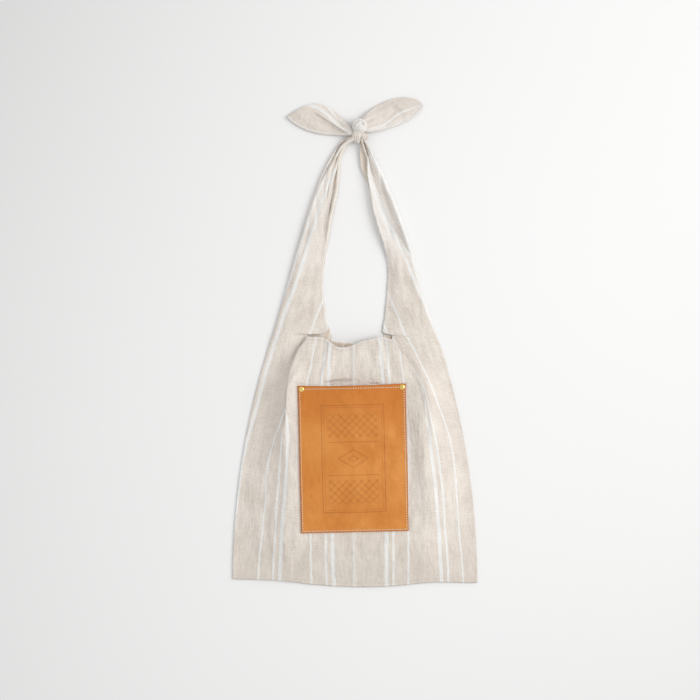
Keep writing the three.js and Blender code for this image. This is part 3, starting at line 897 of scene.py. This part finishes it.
class Graph:
    """A material's nodes."""

    def __init__(self, name):
        self.material = bpy.data.materials.new(name)
        self.material.use_nodes = True
        self.tree = self.material.node_tree
        self.shader = self.tree.nodes["Principled BSDF"]

    def node(self, kind, inputs=(), **settings):
        made = self.tree.nodes.new(kind)
        for key, value in settings.items():
            setattr(made, key, value)
        for key, value in dict(inputs).items():
            self.feed(made.inputs[key], value)
        return made

    def feed(self, socket, value):
        if isinstance(value, bpy.types.NodeSocket):
            self.tree.links.new(value, socket)
        else:
            socket.default_value = value

    def math(self, operation, *values):
        return self.node("ShaderNodeMath", enumerate(values), operation=operation).outputs[0]

    def plus(self, a, b):
        return self.math("ADD", a, b)

    def minus(self, a, b):
        return self.math("SUBTRACT", a, b)

    def times(self, a, b):
        return self.math("MULTIPLY", a, b)

    def larger(self, a, b):
        return self.math("MAXIMUM", a, b)

    def size(self, value):
        return self.math("ABSOLUTE", value)

    def attribute(self, name):
        return self.node("ShaderNodeAttribute", attribute_name=name).outputs["Fac"]

    def point(self, x, y, z=0.0):
        return self.node("ShaderNodeCombineXYZ", {"X": x, "Y": y, "Z": z}).outputs[0]

    def noise(self, place, scale, detail=3.0, roughness=0.55):
        inputs = {"Vector": place, "Scale": scale, "Detail": detail, "Roughness": roughness}
        return self.node("ShaderNodeTexNoise", inputs).outputs["Fac"]

    def ramp(self, value, low, high, to_low=0.0, to_high=1.0, smooth=True):
        made = self.node(
            "ShaderNodeMapRange", {"Value": value, 1: low, 2: high, 3: to_low, 4: to_high}, clamp=True
        )
        made.interpolation_type = "SMOOTHSTEP" if smooth else "LINEAR"
        return made.outputs[0]

    def mix(self, share, a, b):
        made = self.node("ShaderNodeMix", {0: share}, data_type="RGBA")
        self.feed(made.inputs[6], a)
        self.feed(made.inputs[7], b)
        return made.outputs[2]

    def bump(self, height, distance, strength=1.0, normal=None):
        inputs = {"Height": height, "Distance": distance, "Strength": strength}
        if normal is not None:
            inputs["Normal"] = normal
        return self.node("ShaderNodeBump", inputs).outputs[0]

    def finish(self, **sockets):
        for key, value in sockets.items():
            self.feed(self.shader.inputs[key.replace("_", " ")], value)
        return self.material


def srgb(red, green, blue):
    """A colour written as it shows on a screen, from 0 to 255."""

    def linear(value):
        value /= 255
        return value / 12.92 if value <= 0.04045 else ((value + 0.055) / 1.055) ** 2.4

    return (linear(red), linear(green), linear(blue), 1)


# Keeps the first stripe clear of the end of the repeat
STRIPE_START = 4.0


def linen(name, dark, light, stripe_dark, stripe_light):
    """Slubby natural linen with pale stripes woven along it."""
    g = Graph(name)
    across, along, pale = g.attribute("across"), g.attribute("along"), g.attribute("pale")
    place = g.math("FLOORED_MODULO", g.plus(across, STRIPE_START), STRIPE_REPEAT)
    for scale, reach in ((0.35, 0.9), (0.07, 3.0)):
        wander = g.minus(g.noise(g.point(across, along), scale), 0.5)
        place = g.plus(place, g.times(wander, reach))
    stripe = pale
    for start, width in STRIPES:
        off = g.size(g.minus(place, STRIPE_START + start))
        stripe = g.larger(stripe, g.ramp(off, width / 2 - 0.5, width / 2 + 0.5, 1.0, 0.0))

    warp_slub = g.noise(g.point(g.times(across, 1.1), g.times(along, 0.03)), 1.0, 2.0)
    weft_slub = g.noise(g.point(g.times(across, 0.06), g.times(along, 1.2)), 1.0, 2.0)
    cloudy = g.noise(g.point(across, along), 0.025, 3.0)
    grain = g.noise(g.point(across, along), 0.55, 3.0)
    tone = g.plus(g.times(warp_slub, 0.3), g.times(weft_slub, 0.25))
    tone = g.plus(tone, g.times(grain, 0.3))
    tone = g.plus(tone, g.times(cloudy, 0.3))
    tone = g.ramp(tone, 0.41, 0.73)
    # Painted shade: the cloth's tone is darker towards the bag's bottom edge.
    tone = g.times(tone, g.ramp(along, BOTTOM_Y, -50.0, 0.6, 1.0))

    natural = g.mix(tone, dark, light)
    white = g.mix(tone, stripe_dark, stripe_light)
    colour = g.mix(stripe, natural, white)

    turn = 2 * math.pi / WEAVE_PITCH
    warp = g.math("SINE", g.times(across, turn))
    weft = g.math("SINE", g.times(along, turn))
    weave = g.times(warp, weft)
    height = g.plus(g.times(weave, 0.25), g.plus(warp_slub, weft_slub))
    crumple = g.noise(g.point(across, g.times(along, 0.45)), 0.1, 4.0, 0.6)
    normal = g.bump(height, 0.0005, 0.4, g.bump(crumple, 0.006, 0.5))
    rough = g.ramp(tone, 0.0, 1.0, 0.92, 0.8, False)
    return g.finish(
        Base_Color=colour,
        Roughness=rough,
        Normal=normal,
        Sheen_Weight=0.25,
        Sheen_Roughness=0.5,
        Specular_IOR_Level=0.2,
    )


def pressed_frame(g, across, along):
    """Lines pressed into the leather: a double frame, two rules, two lattices and diamonds between them."""

    def line(off, width=FRAME_LINE):
        return g.ramp(g.size(off), width / 2 - 0.2, width / 2 + 0.35, 1.0, 0.0)

    def inside(value, limit):
        return g.math("LESS_THAN", value, limit)

    x, y = g.size(across), g.size(along)
    box = g.larger(g.minus(x, FRAME_HALF_WIDTH), g.minus(y, FRAME_HALF_HEIGHT))
    marks = g.larger(line(box), g.times(line(g.plus(box, FRAME_GAP), 0.5), 0.7))
    rules = g.times(line(g.minus(y, RULE_Y), 0.7), inside(x, FRAME_HALF_WIDTH - RULE_INSET))
    rising = line(g.math("PINGPONG", g.plus(across, along), LATTICE / 2))
    falling = line(g.math("PINGPONG", g.minus(across, along), LATTICE / 2))
    in_band = inside(g.size(g.minus(y, LATTICE_Y)), LATTICE_HALF_HEIGHT)
    in_band = g.times(in_band, inside(x, FRAME_HALF_WIDTH - LATTICE_INSET))
    lattice = g.times(g.larger(rising, falling), in_band)
    diamond = g.plus(g.times(x, DIAMOND_FLATNESS), y)
    nested = line(g.math("PINGPONG", g.minus(diamond, DIAMOND_CENTRE), DIAMOND_STEP))
    nested = g.times(nested, inside(diamond, DIAMOND_HALF_HEIGHT))
    for more in (rules, lattice, nested):
        marks = g.larger(marks, more)
    return marks


def leather():
    """Smooth tan leather with a fine grain, worn at its edges and with a pressed frame."""
    g = Graph("tan_leather")
    across, along = g.attribute("across"), g.attribute("along")
    place = g.point(across, along)
    cloudy = g.noise(place, 0.02, 3.0, 0.5)
    fine = g.noise(place, 0.9, 4.0, 0.65)
    cells = g.node("ShaderNodeTexVoronoi", {"Vector": place, "Scale": 1.1}, feature="DISTANCE_TO_EDGE")
    tone = g.plus(g.times(cloudy, 0.6), g.times(fine, 0.4))
    colour = g.mix(g.ramp(tone, 0.34, 0.66), srgb(207, 126, 50), srgb(224, 148, 72))
    # The leather's colour is darker towards the pocket's mouth.
    towards_mouth = g.plus(along, g.times(cloudy, 40.0))
    darker_to_mouth = g.ramp(towards_mouth, 50.0, POCKET_HEIGHT / 2 + 20.0, 0.0, 0.6)
    colour = g.mix(darker_to_mouth, colour, srgb(201, 114, 36))
    rim = g.larger(g.minus(g.size(across), POCKET_WIDTH / 2), g.minus(g.size(along), POCKET_HEIGHT / 2))
    worn = g.times(g.ramp(rim, -2.2, 0.0), g.ramp(fine, 0.2, 0.7, 0.5, 1.0))
    colour = g.mix(worn, colour, srgb(176, 101, 41))
    marks = pressed_frame(g, across, along)
    colour = g.mix(g.times(marks, 0.42), colour, srgb(168, 92, 36))
    height = g.plus(g.times(g.ramp(cells.outputs["Distance"], 0.0, 0.25), 0.5), g.times(fine, 0.6))
    dents = g.bump(g.noise(place, 0.045, 2.0, 0.45), 0.006, 0.75)
    pressed = g.bump(g.times(marks, -1.0), 0.0004, 0.8, dents)
    return g.finish(
        Base_Color=colour,
        Roughness=g.ramp(tone, 0.3, 0.7, 0.62, 0.48, False),
        Normal=g.bump(height, 0.0003, 0.5, pressed),
        Specular_IOR_Level=0.3,
    )


def brass():
    """Bright brass with a slightly uneven polish."""
    g = Graph("brass")
    place = g.node("ShaderNodeTexCoord").outputs["Object"]
    fine = g.noise(place, 2500.0, 3.0)
    cloudy = g.noise(place, 400.0, 2.0)
    colour = g.mix(g.ramp(cloudy, 0.3, 0.7), srgb(238, 194, 98), srgb(255, 228, 146))
    return g.finish(
        Base_Color=colour,
        Metallic=1.0,
        Roughness=g.ramp(fine, 0.3, 0.7, 0.12, 0.24, False),
        Normal=g.bump(fine, 0.00005, 0.4),
    )


# The painted pool of light on the floor, in metres
FLOOR_POOL = (0.227, 0.3)
FLOOR_POOL_TURN = math.radians(54)
FLOOR_POOL_LENGTH = 1.3
FLOOR_POOL_WIDTH = 0.81


def floor_with_painted_light():
    """A plain floor with a painted pool of light: its colour is palest in a long pool to the right of the
    bag.
    """
    g = Graph("floor_with_painted_light")
    place = g.node("ShaderNodeTexCoord").outputs["Object"]
    pool = g.node("ShaderNodeMapping", {"Vector": place}, vector_type="TEXTURE")
    g.feed(pool.inputs["Location"], (*FLOOR_POOL, 0))
    g.feed(pool.inputs["Rotation"], (0, 0, FLOOR_POOL_TURN))
    g.feed(pool.inputs["Scale"], (FLOOR_POOL_LENGTH, FLOOR_POOL_WIDTH, 1))
    off = g.node("ShaderNodeVectorMath", {0: pool.outputs[0]}, operation="LENGTH").outputs["Value"]
    cloudy = g.times(g.minus(g.noise(place, 3.0, 2.0), 0.5), 0.1)
    # Painted light: the floor's colour is palest in the pool and darker away from it, with random cloudy
    # tone.
    tone = g.plus(g.ramp(g.times(off, off), 0.0, 1.0, 1.0, 0.0, False), cloudy)
    colour = g.mix(tone, srgb(224, 224, 224), srgb(245, 245, 245))
    return g.finish(Base_Color=colour, Roughness=0.9, Specular_IOR_Level=0.1)


# Camera, light and floor, in metres

VIEW_CENTRE = (-0.00725, 0.166)
VIEW_FIELD = 1.015
VIEW_HEIGHT = 3.0
WORLD_STRENGTH = 0.722
KEY_PLACE = (3.0, 0.7, 2.8)
KEY_AIM = (0, 0.15, 0)
KEY_SIZE = 3.0
KEY_ENERGY = 80
KEY_COLOUR = (1, 0.99, 0.975)
FLOOR_HALF = 4


def studio():
    """A camera straight above, even light from all round with one soft lamp, and a pale floor with a painted
    pool of light.
    """
    scene = bpy.context.scene
    scene.view_settings.view_transform = "Standard"
    camera = bpy.data.objects.new("camera", bpy.data.cameras.new("camera"))
    camera.location = (*VIEW_CENTRE, VIEW_HEIGHT)
    camera.data.angle = 2 * math.atan(VIEW_FIELD / 2 / VIEW_HEIGHT)
    bpy.context.collection.objects.link(camera)
    scene.camera = camera

    world = bpy.data.worlds.new("studio")
    world.use_nodes = True
    background = world.node_tree.nodes["Background"]
    background.inputs["Color"].default_value = (1, 1, 1, 1)
    background.inputs["Strength"].default_value = WORLD_STRENGTH
    scene.world = world

    lamp = bpy.data.lights.new("key", "AREA")
    lamp.shape = "DISK"
    lamp.size = KEY_SIZE
    lamp.energy = KEY_ENERGY
    lamp.color = KEY_COLOUR
    key = bpy.data.objects.new("key", lamp)
    key.location = KEY_PLACE
    aim = np.subtract(KEY_AIM, KEY_PLACE)
    tilt = math.acos(-aim[2] / np.linalg.norm(aim))
    key.rotation_euler = (tilt, 0, math.atan2(aim[1], aim[0]) - math.pi / 2)
    bpy.context.collection.objects.link(key)

    mesh = bpy.data.meshes.new("floor")
    corners = [(x * FLOOR_HALF, y * FLOOR_HALF, 0) for x, y in ((-1, -1), (1, -1), (1, 1), (-1, 1))]
    mesh.from_pydata(corners, [], [(0, 1, 2, 3)])
    mesh.materials.append(floor_with_painted_light())
    floor = bpy.data.objects.new("floor", mesh)
    floor.location.z = TABLE * MM
    bpy.context.collection.objects.link(floor)


# The pocket

POCKET_COLUMNS = 104
POCKET_ROWS = 142
POCKET_EDGE_DROP = 0.15
POCKET_BEVEL = 0.5


def pocket_panel(material):
    """The leather pocket, which gapes a little at its mouth and waves along its edges."""
    x = np.linspace(-1, 1, POCKET_COLUMNS)[None, :] * POCKET_WIDTH / 2
    y = np.linspace(-1, 1, POCKET_ROWS)[:, None] * POCKET_HEIGHT / 2
    along = (y / POCKET_HEIGHT + 0.5).clip(0, 1)
    z = POCKET_LIFT + LEATHER + POCKET_GAPE * hump(x, POCKET_WIDTH) * along**2
    z = z - POCKET_EDGE_DROP * (1 - smoothstep(1.5, 6, POCKET_WIDTH / 2 - np.abs(x)))
    wave_x = POCKET_WAVE * (2 * x / POCKET_WIDTH) ** 3 * ripple(y, 0 * y, 70, 3)
    wave_y = POCKET_WAVE * along**4 * (ripple(x, 0 * x, 90, 6) - hump(x, POCKET_WIDTH))
    world_x, world_y = turned(x + wave_x, y + wave_y, POCKET_TILT)
    points = np.stack([world_x + POCKET_ASIDE, world_y + POCKET_Y, z + CROWN], axis=-1).reshape(-1, 3)
    numbers = np.arange(POCKET_ROWS * POCKET_COLUMNS).reshape(POCKET_ROWS, POCKET_COLUMNS)
    attributes = {"across": (x + 0 * y).ravel(), "along": (y + 0 * x).ravel()}
    piece = make_object("leather_pocket", points, grid_faces(numbers), attributes, material)
    thicken(piece, LEATHER)
    soft = piece.modifiers.new("soft_edge", "BEVEL")
    soft.width = POCKET_BEVEL * MM
    soft.segments = 2
    soft.limit_method = "ANGLE"
    return settle(piece)


# The knot and its tails

TAIL_ROWS = 110
TAIL_COLUMNS = 72
TAIL_TIP_WIDTH = 3
TAIL_GAP = 2
TAIL_ROOT_LIFT = 7
TAIL_LIFT = 0.9
TAIL_SETTLES = 0.36
TAIL_CROWN = (1.4, 3.2)
TAIL_SAG = 1.6
TAIL_GATHER_HEIGHT = 1.3
TAIL_HEM_HEIGHT = 0.9
TAIL_HEM_MIDDLE = 1.6
TAIL_HEM_REACH = 1.3
TAIL_HEM_BAND = 2
TAIL_PALE = 0.1
TAIL_RIPPLES = (
    SimpleNamespace(height=0.4, across=1, along=1, length=22, seed=7),
    SimpleNamespace(height=0.25, across=1, along=1, length=9, seed=4),
)

LEFT_TAIL = SimpleNamespace(
    name="left_tail_cloth",
    root=(KNOT[0] - 9, KNOT[1] - 9),
    angle=math.radians(165),
    upright=-1,
    length=98,
    width=42.5,
    root_width=7,
    skew=1.2,
    fullness=0.85,
    bow=8.5,
    middle=(-0.6, -1.8),
    stripe=through((0.08, -0.3), (0.4, 0.36), (0.61, 0.72), (0.8, 1.05)),
    stripe_start=0,
    hem_highlight=0.75,
    hem_width=1.2,
    flaps=((((-64, 513), (-57.5, 509.6), (-43.4, 500.9), (-23.7, 487.9), (-10.6, 479), (3, 470)), 4.2, 15),),
    folds=(
        (((-8, 481), (-25.5, 501.4), (-46.3, 519.4)), -0.9, 2.6),
        (((-30, 485), (-55, 494), (-80, 500)), 0.8, 5),
        (((-46, 503), (-64, 503), (-84, 508)), 0.9, 6),
    ),
)
RIGHT_TAIL = SimpleNamespace(
    name="right_tail_cloth",
    root=(KNOT[0] + 5.8, KNOT[1] + 4.2),
    angle=math.radians(16.7),
    upright=1,
    length=90,
    width=39.5,
    root_width=18,
    skew=1,
    fullness=0.6,
    bow=3.8,
    middle=(-3.2, 2),
    stripe=through((0, -0.67), (0.36, -0.57), (0.59, -0.25), (0.95, -0.14)),
    stripe_start=32.4,
    hem_highlight=0.6,
    hem_width=4.5,
    flaps=((((14, 488), (40, 493), (60, 503), (82, 512)), 1.0, 9),),
    folds=(
        (((18, 500), (36, 512), (56, 522)), -0.9, 4),
        (((50, 522), (68, 512), (74, 500)), 0.8, 5),
        (((26, 506), (44, 504), (58, 512)), 0.7, 4),
    ),
)


def tail(shape, material):
    """An end of a strap beyond the knot: a leaf of cloth folded along its upper edge and hemmed below."""
    along = np.linspace(0, 1, TAIL_ROWS)[:, None]
    share = np.linspace(-1, 1, TAIL_COLUMNS)[None, :]
    belly = np.sin(math.pi * along**shape.skew) ** shape.fullness
    width = lerp(lerp(shape.root_width, TAIL_TIP_WIDTH, along), shape.width, belly)
    middle = lerp(*shape.middle, along) + shape.bow * belly
    x, y = turned(along * shape.length + 0 * share, shape.upright * (middle + share * width / 2), shape.angle)
    x, y = x + shape.root[0], y + shape.root[1]
    from_hem = (1 + share) * width / 2
    lift = lerp(TAIL_ROOT_LIFT, TAIL_LIFT, smoothstep(0, TAIL_SETTLES, along))
    rounded = 1 - share**2
    gap = TAIL_GAP * lerp(0.7, 1, rounded)
    wrinkles = TAIL_GATHER_HEIGHT * np.cos(9 * share + 1) * (1 - along) ** 2.2
    wrinkles = wrinkles + ripples(TAIL_RIPPLES, x, y)
    for path, height, spread in shape.folds:
        wrinkles = wrinkles + fold(path, height, spread, x, y)
    for path, height, reach in shape.flaps:
        wrinkles = wrinkles + flap(path, height, reach, x, y)
    hem = TAIL_HEM_HEIGHT * bell(from_hem - TAIL_HEM_MIDDLE, TAIL_HEM_REACH) * smoothstep(0.08, 0.3, along)
    upper = lift + gap + lerp(*TAIL_CROWN, belly) * rounded**0.7 + wrinkles * rounded**0.5 + hem
    lower = np.maximum(lift - TAIL_SAG * rounded, TABLE + KNOT_LIFT)
    upper = np.maximum(upper, lower + gap)
    points = np.concatenate(
        [np.stack([x, y, upper], axis=-1), np.stack([x, y, lower], axis=-1)[:, -2::-1]], axis=1
    )
    count = points.shape[1]
    numbers = np.arange(TAIL_ROWS * count).reshape(TAIL_ROWS, count)
    spot = np.concatenate([share, (2 - share)[:, -2::-1]], axis=1)
    # Painted highlight along the tail's rolled hem, over the tail's even paleness.
    hem_band = np.maximum(TAIL_PALE, shape.hem_highlight * bell(from_hem - TAIL_HEM_BAND, shape.hem_width))
    attributes = {
        "across": ((spot - shape.stripe(along)) * shape.width / 2 + shape.stripe_start).ravel(),
        "along": (along * shape.length + 0 * spot).ravel(),
        "pale": np.concatenate([hem_band, 0 * hem_band[:, 1:]], axis=1).ravel(),
    }
    faces = grid_faces(numbers, shape.upright > 0)
    piece = make_object(shape.name, points.reshape(-1, 3), faces, attributes, material)
    return thicken(piece, CLOTH)


KNOT_RINGS = 56
KNOT_STEPS = 120
KNOT_PARTS = (
    SimpleNamespace(
        place=(6.8, 489.6, 10.6), axis=(0.8, 0.6, 0), length=24, width=23, pleats=5, depth=0.03, pale=0.55
    ),
    SimpleNamespace(
        place=(2.4, 475, 9.6), axis=(0.25, -0.97, -0.1), length=22, width=13, pleats=5, depth=0.05, pale=0.3
    ),
    SimpleNamespace(
        place=(12.3, 475, 8.8), axis=(0.87, -0.5, -0.15), length=18, width=8.5, pleats=4, depth=0.06, pale=0
    ),
    SimpleNamespace(
        place=(6.5, 484, 6.5), axis=(1, 0.25, 0), length=26, width=12, pleats=4, depth=0.08, pale=0
    ),
)
KNOT_CREASES = (
    (
        (
            (-1.6, 484), (-1.4, 490), (1.2, 494.6), (5, 496.4),
            (8.8, 495.6), (11.8, 492.6), (12.6, 488), (10.6, 484.6),
        ),
        3.2, 1.0,
    ),
    (((2.6, 488), (6, 492.6), (9.6, 491.4), (9, 487.6)), 1.3, 0.8),
    (((3, 484.6), (6.4, 486.2), (10, 484)), 1.0, 0.8),
    (((-2.3, 483), (-2.3, 474.9), (0, 466)), 2.0, 0.8),
    (((0.9, 482), (0.9, 474.5), (2.4, 465)), 2.0, 0.8),
    (((4.1, 481), (4.5, 473.2), (5.8, 465)), 1.8, 0.8),
    (((8, 478), (13, 475.6), (19, 472)), 1.4, 0.8),
)


def gathered_turn(part):
    """Points, quads and cloth coordinates of one tight turn of gathered cloth."""
    along = np.linspace(0.03, 0.97, KNOT_RINGS)[:, None]
    angle = np.linspace(0, 2 * math.pi, KNOT_STEPS, endpoint=False)[None, :]
    profile = np.sin(math.pi * along) ** 0.62
    pleat = np.abs(np.sin(part.pleats * angle + 3 * along + 0.5 * np.sin(2 * angle))) ** 0.6
    uneven = 0.04 * np.sin(3 * angle + 9 * along + part.place[0]) + 0.03 * np.sin(5 * angle - 14 * along)
    radius = part.width / 2 * profile * (1 + part.depth * (2 * pleat - 1.4) + uneven)
    axis = Vector(part.axis).normalized()
    aside = axis.cross(Vector((0, 0, 1))).normalized()
    above = aside.cross(axis).normalized()
    spine = (along - 0.5) * part.length
    facing_up = np.maximum(np.sin(angle), 0) ** 0.5

    def placed(out):
        return (
            np.array(part.place)
            + spine[..., None] * np.array(axis)
            + (out * np.cos(angle))[..., None] * np.array(aside)
            + (out * np.sin(angle))[..., None] * np.array(above)
        )

    smooth = placed(radius)
    for path, depth, width in KNOT_CREASES:
        radius = radius - ridge(path, depth, width, smooth[..., 0], smooth[..., 1]) * facing_up
    points = placed(radius)
    points[..., 2] = np.maximum(points[..., 2], TABLE + KNOT_LIFT)
    numbers = np.arange(KNOT_RINGS * KNOT_STEPS).reshape(KNOT_RINGS, KNOT_STEPS)
    closed = np.concatenate([numbers, numbers[:, :1]], axis=1)
    faces = grid_faces(closed, True) + [numbers[0].tolist(), numbers[-1, ::-1].tolist()]
    across = angle * part.width / 2 + 12 + 0 * along
    return points.reshape(-1, 3), faces, across.ravel(), (spine + 0 * angle).ravel()


def knot(material):
    """The knot: turns of gathered cloth over one another."""
    points, faces = [], []
    attributes = {"across": [], "along": [], "pale": []}
    count = 0
    for part in KNOT_PARTS:
        place, quads, across, along = gathered_turn(part)
        points.append(place)
        faces += [[number + count for number in quad] for quad in quads]
        attributes["across"].append(across)
        attributes["along"].append(along)
        attributes["pale"].append(np.full(len(place), part.pale))
        count += len(place)
    attributes = {key: np.concatenate(values) for key, values in attributes.items()}
    return make_object("knot_cloth", np.concatenate(points), faces, attributes, material)


# Sewing, in millimetres

POCKET_STITCH = SimpleNamespace(pitch=3.6, length=2.5, thickness=1.3)
POCKET_STITCH_INSET = 2.6
POCKET_TOP_STITCH = 5
POCKET_SIDE_END = 9
POCKET_MOUTH_END = 7
CLOTH_STITCH = SimpleNamespace(pitch=3.0, length=2.1, thickness=0.75)
HEM_STITCH_INSET = 1.2
SEAM_STITCH_ASIDE = 2.4
BOTTOM_STITCH_ABOVE = 5.5
STITCH_RINGS = 7
STITCH_STEPS = 8


def surface_under(*pieces):
    """A function that drops a point onto the pieces: where it lands, in millimetres, and which way is out."""
    trees = [BVHTree.FromObject(piece, bpy.context.evaluated_depsgraph_get()) for piece in pieces]

    def drop(x, y):
        hits = [tree.ray_cast(Vector((x * MM, y * MM, 0.2)), Vector((0, 0, -1))) for tree in trees]
        hits = [hit for hit in hits if hit[0] is not None]
        if not hits:
            return None
        place, normal = max(hits, key=lambda hit: hit[0].z)[:2]
        return np.array(place) / MM, np.array(normal if normal.z > 0 else -normal)

    return drop


def stitch_row(name, line, drop, stitch, material):
    """A row of thread stitches along a line of x, y points on a surface."""
    line = np.array(line, float)
    lengths = np.concatenate([[0], np.cumsum(np.hypot(*np.diff(line, axis=0).T))])
    spine = np.linspace(-1, 1, STITCH_RINGS)[:, None]
    angle = np.linspace(0, 2 * math.pi, STITCH_STEPS, endpoint=False)[None, :]
    radius = stitch.thickness / 2 * np.sqrt(np.maximum(1 - np.abs(spine) ** 3, 0.06))
    numbers = np.arange(STITCH_RINGS * STITCH_STEPS).reshape(STITCH_RINGS, STITCH_STEPS)
    quads = np.array(grid_faces(np.concatenate([numbers, numbers[:, :1]], axis=1)))
    forward = spine * stitch.length / 2 + 0 * angle
    sideways = radius * np.cos(angle)
    height = stitch.thickness * (0.3 - 0.75 * spine**4) + radius * np.sin(angle)
    points, faces = [], []
    for centre in np.arange(stitch.pitch / 2, lengths[-1], stitch.pitch):
        here, next_to_it = (
            np.array([np.interp(centre + step, lengths, line[:, k]) for k in (0, 1)]) for step in (0, 0.2)
        )
        landed = drop(*here)
        if landed is None:
            continue
        place, up = landed
        ahead = np.append(next_to_it - here, 0)
        ahead -= up * (ahead @ up)
        ahead /= np.linalg.norm(ahead)
        aside = np.cross(up, ahead)
        shape = place + forward[..., None] * ahead + sideways[..., None] * aside + height[..., None] * up
        faces += (quads + len(points) * numbers.size).tolist()
        points.append(shape.reshape(-1, 3))
    attributes = {
        "across": np.tile((angle * stitch.thickness / 2 + 0 * spine).ravel(), len(points)),
        "along": np.tile(forward.ravel(), len(points)),
    }
    return make_object(name, np.concatenate(points), faces, attributes, material)


def thread(name, dark, light):
    """Twisted sewing thread."""
    g = Graph(name)
    across, along = g.attribute("across"), g.attribute("along")
    turn = g.plus(g.times(across, 9.0), g.times(along, 7.0))
    ply = g.ramp(g.math("SINE", turn), -1.0, 1.0)
    fuzz = g.noise(g.point(across, along), 6.0)
    tone = g.plus(g.times(ply, 0.6), g.times(fuzz, 0.4))
    return g.finish(
        Base_Color=g.mix(tone, dark, light),
        Roughness=g.ramp(fuzz, 0.3, 0.7, 0.6, 0.8, False),
        Normal=g.bump(ply, 0.0001, 0.7),
        Sheen_Weight=0.15,
    )


def pocket_line(*points):
    """A line given on the pocket, from its middle, in the frame of the bag."""
    placed = [turned(x, y, POCKET_TILT) for x, y in points]
    return [(x + POCKET_ASIDE, y + POCKET_Y) for x, y in placed]


# Putting it together

linen_cloth = linen(
    "linen_cloth", srgb(210, 199, 188), srgb(240, 232, 223), srgb(230, 229, 226), srgb(244, 243, 241)
)
# A warmer, slightly darker copy of the linen for the cloth's inner side: painted shade, the warm shade deep
# in the folds, slits and straps.
linen_inside_painted_shade = linen(
    "linen_inside_painted_shade", srgb(213, 197, 178), srgb(238, 224, 209), srgb(230, 222, 211), srgb(245, 239, 231)
)
tan_leather, bright_brass = leather(), brass()
cream_thread = thread("cream_thread", srgb(214, 196, 164), srgb(246, 236, 216))
linen_thread = thread("linen_thread", srgb(206, 198, 186), srgb(240, 236, 228))

left_cloth = cloth_half(LEFT, linen_cloth, linen_inside_painted_shade)
right_cloth = cloth_half(RIGHT, linen_cloth, linen_inside_painted_shade)
for piece, half in ((left_cloth, LEFT), (right_cloth, RIGHT)):
    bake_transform(piece)
    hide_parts(f"{half.name}_half", f"{half.name}_strap", f"{half.name}_strap_hem")

pocket = pocket_panel(tan_leather)
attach(pocket, "bag")
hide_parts("pocket_panel")

for name in ("left_rivet_cap", "right_rivet_cap", "left_rivet_back", "right_rivet_back"):
    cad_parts[name].data.materials.clear()
    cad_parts[name].data.materials.append(bright_brass)

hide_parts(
    "front_centre_seam",
    "back_centre_seam",
    "bottom_seam_allowance",
    "front_mouth_hem",
    "back_mouth_hem",
)

knot_cloth = knot(linen_cloth)
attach(knot_cloth, "handle")
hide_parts("knot_core", "knot_wrap")
for shape, side in ((LEFT_TAIL, "left"), (RIGHT_TAIL, "right")):
    piece = tail(shape, linen_cloth)
    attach(piece, f"{side}_tail_body")
    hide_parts(f"{side}_tail")

reach_x = POCKET_WIDTH / 2 - POCKET_STITCH_INSET
reach_y = POCKET_HEIGHT / 2 - POCKET_STITCH_INSET
on_pocket = surface_under(pocket)
corner_y = POCKET_HEIGHT / 2 - POCKET_SIDE_END
sides = pocket_line((-reach_x, corner_y), (-reach_x, -reach_y), (reach_x, -reach_y), (reach_x, corner_y))
mouth_y = POCKET_HEIGHT / 2 - POCKET_TOP_STITCH
mouth_x = reach_x - POCKET_MOUTH_END
mouth = pocket_line((-mouth_x, mouth_y), (mouth_x, mouth_y))
for name, line in (("pocket_side_stitches", sides), ("pocket_mouth_stitches", mouth)):
    piece = stitch_row(name, line, on_pocket, POCKET_STITCH, cream_thread)
    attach(piece, "bag")

on_cloth = surface_under(left_cloth, right_cloth)
hem_below = HEM_WIDTH - HEM_STITCH_INSET
cloth_lines = {
    "seam_stitches": [(-SEAM_STITCH_ASIDE, y) for y in np.linspace(-170, 170, 160)],
    "left_mouth_stitches": [(x, mouth_edge(x) - hem_below) for x in np.linspace(-74, -1, 60)],
    "right_mouth_stitches": [(x, mouth_edge(x) - hem_below) for x in np.linspace(1, 56, 60)],
    "bottom_stitches": [(x, bottom_edge(x) + BOTTOM_STITCH_ABOVE) for x in np.linspace(-172, 170, 120)],
}
for name, line in cloth_lines.items():
    piece = stitch_row(name, line, on_cloth, CLOTH_STITCH, linen_thread)
    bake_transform(piece)

studio()
